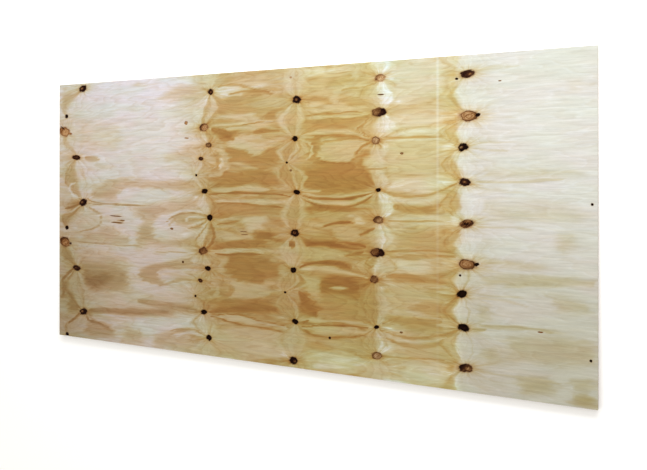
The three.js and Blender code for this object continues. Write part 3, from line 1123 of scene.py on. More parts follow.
class Figure:
    """The tone of the wood over the face: pale early wood 0, dark late wood 1."""

    # Where the left wood ends and the right wood begins, each from and to, in mm.
    LEFT_EDGE = (-620.0, -270.0)
    RIGHT_EDGE = (736.0, 768.0)

    # The tone of the clear wood along the sheet, at these places, in mm.
    PLACES = (-1220, -1100, -480, -300, 380, 500, 735, 765, 920)
    TONES = (0.26, 0.2, 0.2, 0.48, 0.48, 0.33, 0.4, 0.34, 0.12)

    # How far a whorl's first and last gap reach past its knots, and how far its eyes reach
    # to either side, in mm. Knots that are closer than MERGED across the sheet are one stop.
    PAST_WHORL = 150.0
    EYE_REACH = 200.0
    MERGED = 5.0

    # How strongly the wood is drawn to an eye's tones, from 0 to 1.
    EYE_STRENGTH = 0.86

    # The rays round a knot: how many there are of each kind, how far they are drawn out
    # along the grain, and how far they move the tone.
    RAYS = (9, 14, 19)
    RAY_STRETCH = 2.4
    RAY_SWING = 0.085

    def zones(self, x: np.ndarray, y: np.ndarray) -> tuple[np.ndarray, np.ndarray, np.ndarray]:
        """How much each place belongs to the left, the middle and the right wood.

        Args:
            x: places along the sheet, in mm.
            y: places across the sheet, in mm.

        Returns:
            The three shares, which add up to 1.
        """
        stray = Waves(41, 900, 150).at(x, y)
        left = 1 - smooth(*self.LEFT_EDGE, x + 30 * stray)
        left *= 1 - 0.5 * np.exp(-(((x + 1150) / 90) ** 2))
        right = smooth(*self.RIGHT_EDGE, x + 9 * stray)
        return left, 1 - left - right, right

    def tone(self, x: np.ndarray, y: np.ndarray) -> np.ndarray:
        """The tone of the wood.

        Args:
            x: places along the sheet, in mm.
            y: places across the sheet, in mm.

        Returns:
            The tone at each place, mostly from 0 to 1.
        """
        grain = Grain(x, y)
        left, middle, _ = self.zones(x, y)
        tone = np.interp(x, self.PLACES, self.TONES) - 0.12 * left * smooth(0, 400, y)
        drift = 0.05 * Waves(11, 500, 60).at(x, y)
        drift += 0.05 * Waves(21, 190, 26).at(x + grain.slide, y + grain.bend)
        tone += drift * (0.35 + 0.4 * left + 1.05 * middle)
        for area in PATCHES + LEAVES + STRANDS:
            area.lay(tone, grain)
        for whorl in WHORLS:
            self._lay_eyes(tone, grain, whorl)
        for band in BANDS:
            band.lay(tone, grain)
        for knot in all_knots():
            self._lay_rays(tone, grain, knot)
        return tone - 0.12 * middle * smooth(350, 590, np.abs(y))

    def rings(self, x: np.ndarray, y: np.ndarray, tone: np.ndarray) -> np.ndarray:
        """How many growth rings are cut through up to each place.

        Args:
            x: places along the sheet, in mm.
            y: places across the sheet, in mm.
            tone: the tone at each place.

        Returns:
            The count of rings, from a chosen one.
        """
        rings = 0.9 * Waves(51, 1500, 230).at(x, y) + 0.3 * Waves(52, 240, 60).at(x, y) + 1.4 * tone
        steep = random.Random(7)
        lens = np.zeros_like(x)
        for whorl in WHORLS:
            for (x0, y0), (x1, y1), _ in self._gaps(whorl):
                above = np.arctan2(y0 - y, x0 - x)
                below = np.arctan2(y1 - y, x1 - x)
                seen_under = math.pi - np.abs(np.abs(above - below) - math.pi)
                lens = np.maximum(lens, seen_under / math.pi * steep.uniform(3.4, 5.2))
        return rings + lens

    def _gaps(self, whorl: Whorl) -> list[tuple[Point, Point, Eye]]:
        """The gaps above, between and below the knots of a whorl.

        Args:
            whorl: the whorl.

        Returns:
            The places of the two knots, in mm, and the eye between them, for each gap.
        """
        stops = [(knot.x, knot.y) for knot in BOLT.knots(whorl)]
        above = [(0, math.inf)] + stops
        stops = [stop for stop, last in zip(stops, above) if last[1] - stop[1] > self.MERGED]
        stops.insert(0, (stops[0][0], stops[0][1] + self.PAST_WHORL))
        stops.append((stops[-1][0], stops[-1][1] - self.PAST_WHORL))
        return list(zip(stops, stops[1:], whorl.eyes))

    def _lay_eyes(self, tone: np.ndarray, grain: Grain, whorl: Whorl) -> None:
        """Opens an eye of nested arcs between each two knots of a whorl.

        Args:
            tone: the tones so far, changed in place.
            grain: the face's grain.
            whorl: the whorl.
        """
        for (x0, y0), (x1, y1), eye in self._gaps(whorl):
            if not eye:
                continue
            share = (y0 - grain.y) / (y0 - y1)
            near = (share > 0.001) & (share < 0.999)
            near &= np.abs(grain.x - (x0 + x1) / 2) < self.EYE_REACH
            share = share[near]
            swell = (1 - np.abs(2 * share - 1) ** 1.3) ** 0.9
            line = x0 + (x1 - x0) * smooth(0, 1, share)
            offset = grain.x[near] + 0.3 * grain.slide[near] * swell - line
            offset /= np.maximum(swell, 0.02)
            places, tones = zip(*eye)
            drawn = np.interp(offset, places, [0.0] + [1.0] * (len(eye) - 2) + [0.0])
            drawn *= self.EYE_STRENGTH * smooth(0.0, 0.12, swell)
            tone[near] += (np.interp(offset, places, tones) - tone[near]) * drawn

    def _lay_rays(self, tone: np.ndarray, grain: Grain, knot: Knot) -> None:
        """Draws the wood into rays round a knot.

        Args:
            tone: the tones so far, changed in place.
            grain: the face's grain.
            knot: the knot.
        """
        far = 26 + 0.6 * knot.long
        near = (np.abs(grain.x - knot.x) < 5 * far) & (np.abs(grain.y - knot.y) < 2 * far)
        ahead, aside = (grain.x[near] - knot.x) / self.RAY_STRETCH, grain.y[near] - knot.y
        bearing = np.arctan2(aside, ahead)
        draw = random.Random(knot.habit)
        rays = np.zeros_like(bearing)
        for count in self.RAYS:
            rays += np.sin(count * bearing + draw.uniform(0, FULL_TURN)) / count**0.3
        fade = np.exp(-((np.hypot(ahead, aside) / far) ** 1.5))
        tone[near] += self.RAY_SWING * knot.flare * rays * fade


# ------------------------------------------------------------------ the sheet's mesh


# How close a vertex lies to a line or a plane that it counts as being on, in mm.
SNUG = 0.01


class Part(Enum):
    """The parts of the sheet's surface, by material slot."""

    FACE = 0
    LONG_EDGE = 1
    END_EDGE = 2
    BACK = 3


def places_of(items: bpy.types.bpy_prop_collection, name: str) -> np.ndarray:
    """Reads where all vertices or faces of a mesh lie.

    Args:
        items: the vertices or the faces.
        name: the name of the property that says where they lie.

    Returns:
        Their places in mm: a row each of X, Y and Z.
    """
    numbers = np.empty(len(items) * 3)
    items.foreach_get(name, numbers)
    return numbers.reshape(-1, 3).T.copy() / MM


def numbers_of(items: bpy.types.bpy_prop_collection, name: str) -> np.ndarray:
    """Reads a whole number of all corners or faces of a mesh.

    Args:
        items: the corners or the faces.
        name: the number's name.

    Returns:
        The numbers.
    """
    numbers = np.empty(len(items), dtype=int)
    items.foreach_get(name, numbers)
    return numbers


def write(mesh: bpy.types.Mesh, name: str, domain: str, rows: np.ndarray) -> None:
    """Writes rows of three numbers as an attribute of a mesh.

    Args:
        mesh: the mesh.
        name: the attribute's name.
        domain: what it belongs to: POINT, FACE or CORNER.
        rows: the numbers.
    """
    layer = mesh.attributes.new(name, "FLOAT_VECTOR", domain)
    layer.data.foreach_set("vector", rows.ravel())


def grow_rim(
    bm: bmesh.types.BMesh, edges: list[bmesh.types.BMEdge]
) -> tuple[list[bmesh.types.BMVert], list[bmesh.types.BMEdge]]:
    """Grows a strip of faces from a rim.

    Args:
        bm: the mesh being built.
        edges: the rim.

    Returns:
        The vertices and the edges of the strip's new rim.
    """
    grown = bmesh.ops.extrude_edge_only(bm, edges=edges)["geom"]
    verts = [item for item in grown if isinstance(item, bmesh.types.BMVert)]
    rim = set(verts)
    edges = [item for item in grown if isinstance(item, bmesh.types.BMEdge)]
    return verts, [edge for edge in edges if rim.issuperset(edge.verts)]


@dataclass(frozen=True)
class SheetMesh:
    """The sheet as one closed mesh, cut finely enough to carry the face's figure.

    Attributes:
        rows: how many rows of faces lie across the sheet.
        fine: the length of a face near a whorl or an end, in mm.
        coarse: its length elsewhere, in mm.
        near_whorl: how far from a whorl's middle faces are fine, in mm.
        near_end: how far from the sheet's ends faces are fine, in mm.
        lead: how far a whorl's middle lies before its foot, in mm.
        arris: how far the sheet's sharp edges are rubbed off, in mm.
        cleared: how far round a hollow the face is laid anew, in the knot's half sizes.
        rings: the rings of a hollow from its rim to its floor: size, share of depth.
        cut_rings: how many of them a hollow has that the near long edge cuts through.
    """

    rows: int = 272
    fine: float = 4.8
    coarse: float = 13.4
    near_whorl: float = 95.0
    near_end: float = 40.0
    lead: float = 10.0
    arris: float = 0.4
    cleared: float = 1.2
    rings: tuple[tuple[float, float], ...] = (
        (1.12, 0.0), (1.0, 0.02), (0.93, 0.6), (0.88, 1.0), (0.6, 0.93), (0.3, 1.0),
    )
    cut_rings: int = 4

    # The strips of the map: where each starts and how much it takes, from 0 to 1.
    MARGIN = 0.004
    FACE_STRIP = (0.004, 0.716)
    BACK_STRIP = (0.73, 0.17)
    EDGE_STRIP = (0.908, 0.018)
    NEXT_EDGE = 0.023

    def build(self, materials: Sequence[bpy.types.Material]) -> bpy.types.Object:
        """Builds the sheet and lays its figure on it.

        Args:
            materials: the finishes, one for each Part, in order.

        Returns:
            The finished object.
        """
        mesh = bpy.data.meshes.new("sheet")
        bm = bmesh.new()
        self._face(bm)
        for knot in all_knots():
            if knot.look is not Look.SOUND:
                self._hollow(bm, knot)
        self._edges_and_back(bm)
        bmesh.ops.recalc_face_normals(bm, faces=bm.faces)
        self._mark_parts(bm)
        bm.to_mesh(mesh)
        bm.free()
        for material in materials:
            mesh.materials.append(material)
        self._lay_figure(mesh)
        self._lay_knots(mesh)
        self._lay_map(mesh)
        sheet = bpy.data.objects.new("sheet", mesh)
        bpy.context.collection.objects.link(sheet)
        triangles = sum(len(polygon.vertices) - 2 for polygon in mesh.polygons)
        LOG.info("sheet: %d faces, %d triangles", len(mesh.polygons), triangles)
        return sheet

    def _columns(self) -> np.ndarray:
        """Where the face's columns of vertices lie.

        Returns:
            Their places along the sheet, in mm, from one end to the other.
        """
        half = SHEET_LENGTH / 2 - self.arris
        columns = [-half]
        middles = [whorl.foot - SHEET_LENGTH / 2 - self.lead for whorl in WHORLS]
        while columns[-1] < half:
            gap = min(abs(columns[-1] - middle) for middle in middles)
            fine = gap < self.near_whorl or half - abs(columns[-1]) < self.near_end
            columns.append(columns[-1] + (self.fine if fine else self.coarse))
        spread = np.array(columns) + half
        return -half + spread * 2 * half / spread[-1]

    def _face(self, bm: bmesh.types.BMesh) -> None:
        """Lays the flat face as a grid.

        Args:
            bm: the mesh being built.
        """
        columns = self._columns()
        count = len(columns) - 1
        bmesh.ops.create_grid(bm, x_segments=count, y_segments=self.rows, size=0.5)
        wide = (SHEET_WIDTH - 2 * self.arris) * MM
        for vert in bm.verts:
            column = round((vert.co.x + 0.5) * count)
            vert.co = (columns[column] * MM, vert.co.y * wide, THICKNESS * MM)

    def _near_edge(self) -> float:
        """Where the face ends at the near long edge, in mm across the sheet."""
        return self.arris - SHEET_WIDTH / 2

    def _on_edge(self, vert: bmesh.types.BMVert) -> bool:
        """Whether a vertex lies where the face ends at the near long edge."""
        return abs(vert.co.y / MM - self._near_edge()) < SNUG

    def _hollow(self, bm: bmesh.types.BMesh, knot: Knot) -> None:
        """Cuts the face open round a knot and closes it again with the knot's hollow.

        Args:
            bm: the mesh being built.
            knot: the knot.
        """
        inside = [
            vert for vert in bm.verts
            if abs(vert.co.x / MM - knot.x) < knot.long
            and abs(vert.co.y / MM - knot.y) < knot.long
            and vert.co.z > (THICKNESS - SNUG) * MM
            and knot.reach(vert.co.x / MM, vert.co.y / MM) < self.cleared
        ]
        faces = dict.fromkeys(face for vert in inside for face in vert.link_faces)
        around = dict.fromkeys(vert for face in faces for vert in face.verts)
        bmesh.ops.delete(bm, geom=list(faces), context="FACES")
        verts = [vert for vert in around if vert.is_valid]
        rim = set(verts)
        edges = list(dict.fromkeys(
            edge for vert in verts for edge in vert.link_edges
            if edge.is_boundary and rim.issuperset(edge.verts)
        ))
        cut = any(self._on_edge(vert) for vert in verts)
        for scale, share in self.rings[:self.cut_rings] if cut else self.rings:
            verts, edges = grow_rim(bm, edges)
            self._shape_ring(verts, knot, scale, THICKNESS - knot.look.value * share)
        if cut:
            edges.append(bm.edges.new([vert for vert in verts if self._on_edge(vert)]))
        bmesh.ops.contextual_create(bm, geom=edges)

    def _shape_ring(
        self, verts: list[bmesh.types.BMVert], knot: Knot, scale: float, height: float
    ) -> None:
        """Moves a ring of vertices onto a copy of a knot's outline.

        Args:
            verts: the ring.
            knot: the knot.
            scale: the copy's size, where 1 is the outline.
            height: its height above the underside, in mm.
        """
        bearings = {vert: knot.bearing(vert.co.x / MM, vert.co.y / MM) for vert in verts}
        ends = [vert for vert in verts if self._on_edge(vert)]
        if ends:
            first, last = sorted(ends, key=lambda vert: -vert.co.x)
            start = bearings[first]
            span = (bearings[last] - start) % FULL_TURN
            new_start = self._edge_bearing(knot, scale, 1)
            new_span = (self._edge_bearing(knot, scale, -1) - new_start) % FULL_TURN
            bearings = {
                vert: new_start + new_span * ((bearing - start) % FULL_TURN) / span
                for vert, bearing in bearings.items()
            }
        for vert, bearing in bearings.items():
            x, y = knot.place(bearing, scale)
            vert.co = Vector((x, self._near_edge() if vert in ends else y, height)) * MM

    def _edge_bearing(self, knot: Knot, scale: float, side: int) -> float:
        """The bearing at which a copy of a knot's outline meets the near long edge.

        Args:
            knot: the knot.
            scale: the size of the copy.
            side: -1 for the left crossing, 1 for the right one.

        Returns:
            The bearing, in radians.
        """
        low, high = -math.pi / 2, -math.pi / 2 + side * math.pi / 2
        for _ in range(30):
            middle = (low + high) / 2
            if knot.place(middle, scale)[1] < self._near_edge():
                low = middle
            else:
                high = middle
        return high

    def _edges_and_back(self, bm: bmesh.types.BMesh) -> None:
        """Draws the face's rim down into the four edges and closes the back.

        Args:
            bm: the mesh being built.
        """
        edges = [edge for edge in bm.edges if edge.is_boundary]
        # How far each ring steps outwards, in arrises, and how it gets its height.
        steps: tuple[tuple[int, Callable[[float], float]], ...] = (
            (1, lambda above: above - self.arris),
            (0, lambda above: self.arris),
            (-1, lambda above: 0.0),
        )
        for out, height in steps:
            verts, edges = grow_rim(bm, edges)
            for vert in verts:
                x, y, z = vert.co / MM
                if abs(x) > SHEET_LENGTH / 2 - 2 * self.arris:
                    x += out * math.copysign(self.arris, x)
                if abs(y) > SHEET_WIDTH / 2 - 2 * self.arris:
                    y += out * math.copysign(self.arris, y)
                vert.co = Vector((x, y, height(z))) * MM
        bmesh.ops.contextual_create(bm, geom=edges)

    def _mark_parts(self, bm: bmesh.types.BMesh) -> None:
        """Gives each face its material slot and flat shading.

        Args:
            bm: the mesh being built.
        """
        for face in bm.faces:
            middle = face.calc_center_median() / MM
            if middle.z > THICKNESS - PLY - 0.1 and abs(face.normal.z) > 0.05:
                part = Part.FACE
            elif middle.z < SNUG:
                part = Part.BACK
            elif abs(face.normal.x) > abs(face.normal.y):
                part = Part.END_EDGE
            else:
                part = Part.LONG_EDGE
            face.material_index = part.value
            face.smooth = False

    def _lay_figure(self, mesh: bpy.types.Mesh) -> None:
        """Writes the tone, the rings and the zone of the wood at every vertex.

        Args:
            mesh: the finished mesh.
        """
        x, y, _ = places_of(mesh.vertices, "co")
        figure = Figure()
        tone = figure.tone(x, y)
        for name, numbers in (("tone", tone), ("rings", figure.rings(x, y, tone))):
            mesh.attributes.new(name, "FLOAT", "POINT").data.foreach_set("value", numbers)
        write(mesh, "zone", "POINT", np.stack(figure.zones(x, y), axis=1))

    def _lay_knots(self, mesh: bpy.types.Mesh) -> None:
        """Writes each face's nearest knot, and its corners' places seen from it.

        Args:
            mesh: the finished mesh.
        """
        knots = all_knots() + list(MARKS)
        x, y, _ = places_of(mesh.polygons, "center")
        nearest = np.argmin([knot.reach(x, y) for knot in knots], axis=0)
        owner = np.repeat(nearest, numbers_of(mesh.polygons, "loop_total"))
        corners = numbers_of(mesh.loops, "vertex_index")
        x, y, _ = places_of(mesh.vertices, "co")[:, corners]
        spots = np.zeros((len(corners), 3))
        for number, knot in enumerate(knots):
            mine = owner == number
            spots[mine, 0], spots[mine, 1] = knot.local(x[mine], y[mine])
        write(mesh, "knot_spot", "CORNER", spots)
        for name, rows in (
            ("knot_size", [(knot.long / 2, knot.wide / 2, knot.habit) for knot in knots]),
            ("knot_wood", [(knot.wood.core, knot.wood.rim, knot.wood.side) for knot in knots]),
            ("knot_kind", [(knot.wood.red, knot.flare, knot.look.value) for knot in knots]),
        ):
            write(mesh, name, "FACE", np.array(rows)[nearest])

    def _lay_map(self, mesh: bpy.types.Mesh) -> None:
        """Lays the sheet out on one square map: the face, then the back, then the edges.

        Args:
            mesh: the finished mesh.
        """
        counts = numbers_of(mesh.polygons, "loop_total")
        part = np.repeat(numbers_of(mesh.polygons, "material_index"), counts)
        middle_x, middle_y, _ = np.repeat(places_of(mesh.polygons, "center"), counts, axis=1)
        x, y, z = places_of(mesh.vertices, "co")[:, numbers_of(mesh.loops, "vertex_index")]
        along, across, up = x / SHEET_LENGTH + 0.5, y / SHEET_WIDTH + 0.5, z / THICKNESS
        u = self.MARGIN + (1 - 2 * self.MARGIN) * along
        v = self.FACE_STRIP[0] + self.FACE_STRIP[1] * across
        back = part == Part.BACK.value
        v[back] = self.BACK_STRIP[0] + self.BACK_STRIP[1] * across[back]
        start = self.EDGE_STRIP[0]
        for side, way in ((Part.LONG_EDGE, middle_y), (Part.END_EDGE, middle_x)):
            for sign in (1, -1):
                mine = (part == side.value) & (way * sign > 0)
                if side is Part.END_EDGE:
                    u[mine] = self.MARGIN + (1 - 2 * self.MARGIN) * across[mine]
                v[mine] = start + self.EDGE_STRIP[1] * up[mine]
                start += self.NEXT_EDGE
        layer = mesh.uv_layers.new(name="OFBake")
        layer.data.foreach_set("uv", np.stack((u, v), axis=1).ravel())


# ------------------------------------------------------------------ finishes


# How much brighter than its own colour the wood looks where the light is fullest.
FULL_LIGHT = 2.03


def seen(red: int, green: int, blue: int) -> Color:
    """The wood's own colour, from how it looks where the light is fullest.

    Args:
        red: its red, from 0 to 255.
        green: its green, from 0 to 255.
        blue: its blue, from 0 to 255.

    Returns:
        The colour as a material takes it.
    """
    linear = [
        value / 255 / 12.92 if value <= 10 else ((value / 255 + 0.055) / 1.055) ** 2.4
        for value in (red, green, blue)
    ]
    return tuple(value / FULL_LIGHT for value in linear)


class Signal:
    """A number or a colour that a material works out at each place of the surface."""

    def __init__(self, recipe: Recipe, socket: bpy.types.NodeSocket) -> None:
        """Names what a node gives out."""
        self.recipe = recipe
        self.socket = socket

    def __add__(self, other: Value) -> Signal:
        """The sum."""
        return self.recipe.math("ADD", self, other)

    def __sub__(self, other: Value) -> Signal:
        """The difference."""
        return self.recipe.math("SUBTRACT", self, other)

    def __rsub__(self, other: float) -> Signal:
        """The difference from a plain number."""
        return self.recipe.math("SUBTRACT", other, self)

    def __mul__(self, other: Value) -> Signal:
        """The product."""
        return self.recipe.math("MULTIPLY", self, other)

    def __truediv__(self, other: Value) -> Signal:
        """The quotient."""
        return self.recipe.math("DIVIDE", self, other)

    def __mod__(self, other: Value) -> Signal:
        """The remainder."""
        return self.recipe.math("MODULO", self, other)

    def __abs__(self) -> Signal:
        """The size without its sign."""
        return self.recipe.math("ABSOLUTE", self)

    def fraction(self) -> Signal:
        """What is left past the whole number below."""
        return self.recipe.math("FRACT", self)

    def rise(self, low: float, high: float, bottom: Value = 0, top: Value = 1) -> Signal:
        """A soft step from low to high, from one value to another, or from 0 to 1."""
        inputs = {"Value": self, "From Min": low, "From Max": high, "To Min": bottom, "To Max": top}
        return self.recipe.lay("MapRange", inputs, interpolation_type="SMOOTHSTEP")

    def fall(self, low: float, high: float, top: Value = 1) -> Signal:
        """A soft step from low to high, from a value or from 1 down to 0."""
        return self.rise(low, high, top, 0)

    def numbers(self) -> list[Signal]:
        """The three numbers of a vector."""
        parts = self.recipe.lay("SeparateXYZ", {0: self}).socket.node.outputs
        return [Signal(self.recipe, part) for part in parts]


Value = Signal | float


class Recipe:
    """A material's nodes, laid one by one."""

    def __init__(self, name: str) -> None:
        """Starts an empty material.

        Args:
            name: the material's name.
        """
        self.material = bpy.data.materials.new(name)
        self.material.use_nodes = True
        self.tree = self.material.node_tree
        self.tree.nodes.clear()
        self.place = self.lay("TexCoord", {}, "Object")

    def lay(
        self, kind: str, inputs: dict[int | str, Value | Color], output: int | str = 0, **settings: str
    ) -> Signal:
        """Lays a node.

        Args:
            kind: its kind.
            inputs: what goes into it, by the input's name or number.
            output: the output that is used.
            settings: what it does, by the names of its settings.

        Returns:
            What it gives out.
        """
        node = self.tree.nodes.new("ShaderNode" + kind)
        for name, setting in settings.items():
            setattr(node, name, setting)
        for name, value in inputs.items():
            self.put(node.inputs[name], value)
        return Signal(self, node.outputs[output])

    def put(self, socket: bpy.types.NodeSocket, value: Value | Color) -> None:
        """Links or sets an input.

        Args:
            socket: the input.
            value: a signal to link, or a value to set.
        """
        if isinstance(value, Signal):
            self.tree.links.new(value.socket, socket)
        elif socket.type == "RGBA":
            socket.default_value = (*value, 1.0)
        else:
            socket.default_value = value

    def math(self, operation: str, *values: Value) -> Signal:
        """Works out one number from others."""
        return self.lay("Math", dict(enumerate(values)), operation=operation)

    def length(self, x: Signal, y: Signal) -> Signal:
        """The length of a flat vector of two numbers."""
        return self.math("SQRT", x * x + y * y)

    def attribute(self, name: str) -> list[Signal]:
        """The three numbers of a vector that the mesh carries."""
        return self.lay("Attribute", {}, "Vector", attribute_name=name).numbers()

    def number(self, name: str) -> Signal:
        """A number that the mesh carries."""
        return self.lay("Attribute", {}, "Fac", attribute_name=name)

    def join(self, x: Value, y: Value, z: Value) -> Signal:
        """A vector of three numbers."""
        return self.lay("CombineXYZ", {0: x, 1: y, 2: z})

    def noise(self, vector: Signal, detail: float = 2, roughness: float = 0.5) -> Signal:
        """Noise from 0 to 1, its features 1 apart, with so many finer layers that strong."""
        inputs = {"Vector": vector, "Scale": 1, "Detail": detail, "Roughness": roughness}
        return self.lay("TexNoise", inputs, "Fac")

    def grain(
        self, along: float, across: float, up: float = 1, detail: float = 2, roughness: float = 0.5
    ) -> Signal:
        """Noise with so many features in a metre along X, Y and Z of the sheet."""
        squeezed = {0: self.place, 1: (along, across, up)}
        return self.noise(self.lay("VectorMath", squeezed, operation="MULTIPLY"), detail, roughness)

    def mix(
        self, share: Value, first: Signal | Color, second: Signal | Color, blend: str = "MIX"
    ) -> Signal:
        """Mixes two colours, of which a share of the second is taken."""
        colors = {0: share, 6: first, 7: second}
        return self.lay("Mix", colors, 2, data_type="RGBA", blend_type=blend)

    def tint(self, share: Value, color: Signal, tint: Signal | Color) -> Signal:
        """Multiplies a colour by a share of a tint."""
        return self.mix(share, color, tint, "MULTIPLY")

    def shade(self, color: Signal, light: Signal) -> Signal:
        """Multiplies a colour by a number."""
        return self.tint(1.0, color, self.join(light, light, light))

    def ramp(self, value: Signal, stops: Stops) -> Signal:
        """Colours a value.

        Args:
            value: the value.
            stops: the colour at each value from 0 to 1.

        Returns:
            The colour.
        """
        node = self.tree.nodes.new("ShaderNodeValToRGB")
        entries = node.color_ramp.elements
        while len(entries) < len(stops):
            entries.new(1.0)
        for entry, (position, color) in zip(entries, stops):
            entry.position = position
            entry.color = (*color, 1.0)
        self.put(node.inputs[0], value)
        return Signal(self, node.outputs[0])

    def finish(
        self, color: Signal, roughness: Value, height: Signal, depth: float, shine: Value = 0.25
    ) -> bpy.types.Material:
        """Closes the material.

        Args:
            color: its colour.
            roughness: its roughness.
            height: its relief, from 0 to 1.
            depth: how deep the relief is, in mm.
            shine: how strongly it reflects.

        Returns:
            The material.
        """
        relief = self.lay("Bump", {"Strength": 1.0, "Distance": depth * MM, "Height": height})
        surface = self.lay("BsdfPrincipled", {
            "Specular IOR Level": shine, "Base Color": color, "Roughness": roughness, "Normal": relief,
        })
        self.put(self.tree.nodes.new("ShaderNodeOutputMaterial").inputs["Surface"], surface)
        return self.material


class Zone(Enum):
    """The woods of the face that a tint may be kept to."""

    ANY = "any"
    LEFT = "left"
    RIGHT = "right"
    NOT_RIGHT = "not right"


@dataclass(frozen=True)
class Tint:
    """A broad tint of the face: the wood isn't of one colour all over, and some tints are painted shade.

    Attributes:
        color: what it multiplies the wood's colour by.
        along: where it comes in and goes out along the sheet, each from and to, in metres.
        across: the same across the sheet.
        zone: the wood that it is kept to.
    """

    color: Color
    along: tuple[Point | None, Point | None] = (None, None)
    across: tuple[Point | None, Point | None] = (None, None)
    zone: Zone = Zone.ANY

    def share(self, x: Signal, y: Signal, zones: dict[Zone, Signal]) -> Signal:
        """How strong the tint is.

        Args:
            x: the place along the sheet, in metres.
            y: the place across the sheet, in metres.
            zones: how much the place belongs to each wood.

        Returns:
            The tint's share, from 0 to 1.
        """
        factors = [zones[self.zone]] if self.zone in zones else []
        for place, (comes_in, goes_out) in ((x, self.along), (y, self.across)):
            factors += [place.rise(*comes_in)] if comes_in else []
            factors += [place.fall(*goes_out)] if goes_out else []
        share = factors[0]
        for factor in factors[1:]:
            share = share * factor
        return share


# Painted shade: below this line across the sheet the face darkens, as the light falls off towards the
# near long edge. Above this one it darkens too.
LOW = (None, (-0.6, 0.45))
HIGH = ((0.3, 0.62), None)

# The pale reach between the fourth and the fifth whorl.
PALE_REACH = ((0.42, 0.5), (0.73, 0.77))

TINTS = (
    Tint((1.004, 0.998, 1.015), along=((-1.15, -0.9), None), zone=Zone.LEFT),
    # Painted shade: darker and warmer towards the near long edge, more so in the left wood.
    Tint((0.97, 0.945, 0.86), across=LOW),
    Tint((0.91, 0.88, 0.84), across=LOW, zone=Zone.LEFT),
    Tint((1.11, 1.195, 1.26), along=PALE_REACH),
    Tint((1.012, 1.02, 0.88), along=((0.06, 0.14), (0.39, 0.47))),
    Tint((0.995, 0.975, 0.88), along=((0.64, 0.72), (0.74, 0.82))),
    Tint(
        (1.09, 1.15, 1.22), along=((-0.9, -0.7), None), across=(None, (-0.6, -0.4)),
        zone=Zone.NOT_RIGHT,
    ),
    Tint((1.07, 1.075, 1.11), across=((-0.27, -0.02), (0.08, 0.33)), zone=Zone.RIGHT),
    Tint((0.76, 0.72, 0.62), along=(None, (-1.2, -0.8)), across=LOW),
    Tint((0.90, 0.93, 0.965), across=HIGH),
    Tint((0.95, 0.925, 0.88), across=HIGH, zone=Zone.RIGHT),
    Tint((0.92, 0.965, 1.01), along=PALE_REACH, across=HIGH),
)


class Spot:
    """Where a place of the face lies in its nearest knot, and what that knot is like.

    Attributes:
        along: the place along the knot, in mm.
        across: the place across it, in mm.
        half_long: half the knot's length, in mm.
        half_wide: half its width, in mm.
        habit: the number that its own small irregularities come from.
        red: how reddish it is.
        flare: how strongly it draws the grain.
        hollow: how deep its floor lies, in mm.
        ahead: the place along the knot, in its half lengths.
        aside: the place across it, in its half widths.
    """

    def __init__(self, recipe: Recipe) -> None:
        """Reads what the mesh carries.

        Args:
            recipe: the material's nodes.
        """
        self.along, self.across, _ = recipe.attribute("knot_spot")
        self.half_long, self.half_wide, self.habit = recipe.attribute("knot_size")
        self.red, self.flare, self.hollow = recipe.attribute("knot_kind")
        self.ahead = self.along / self.half_long
        self.aside = self.across / self.half_wide


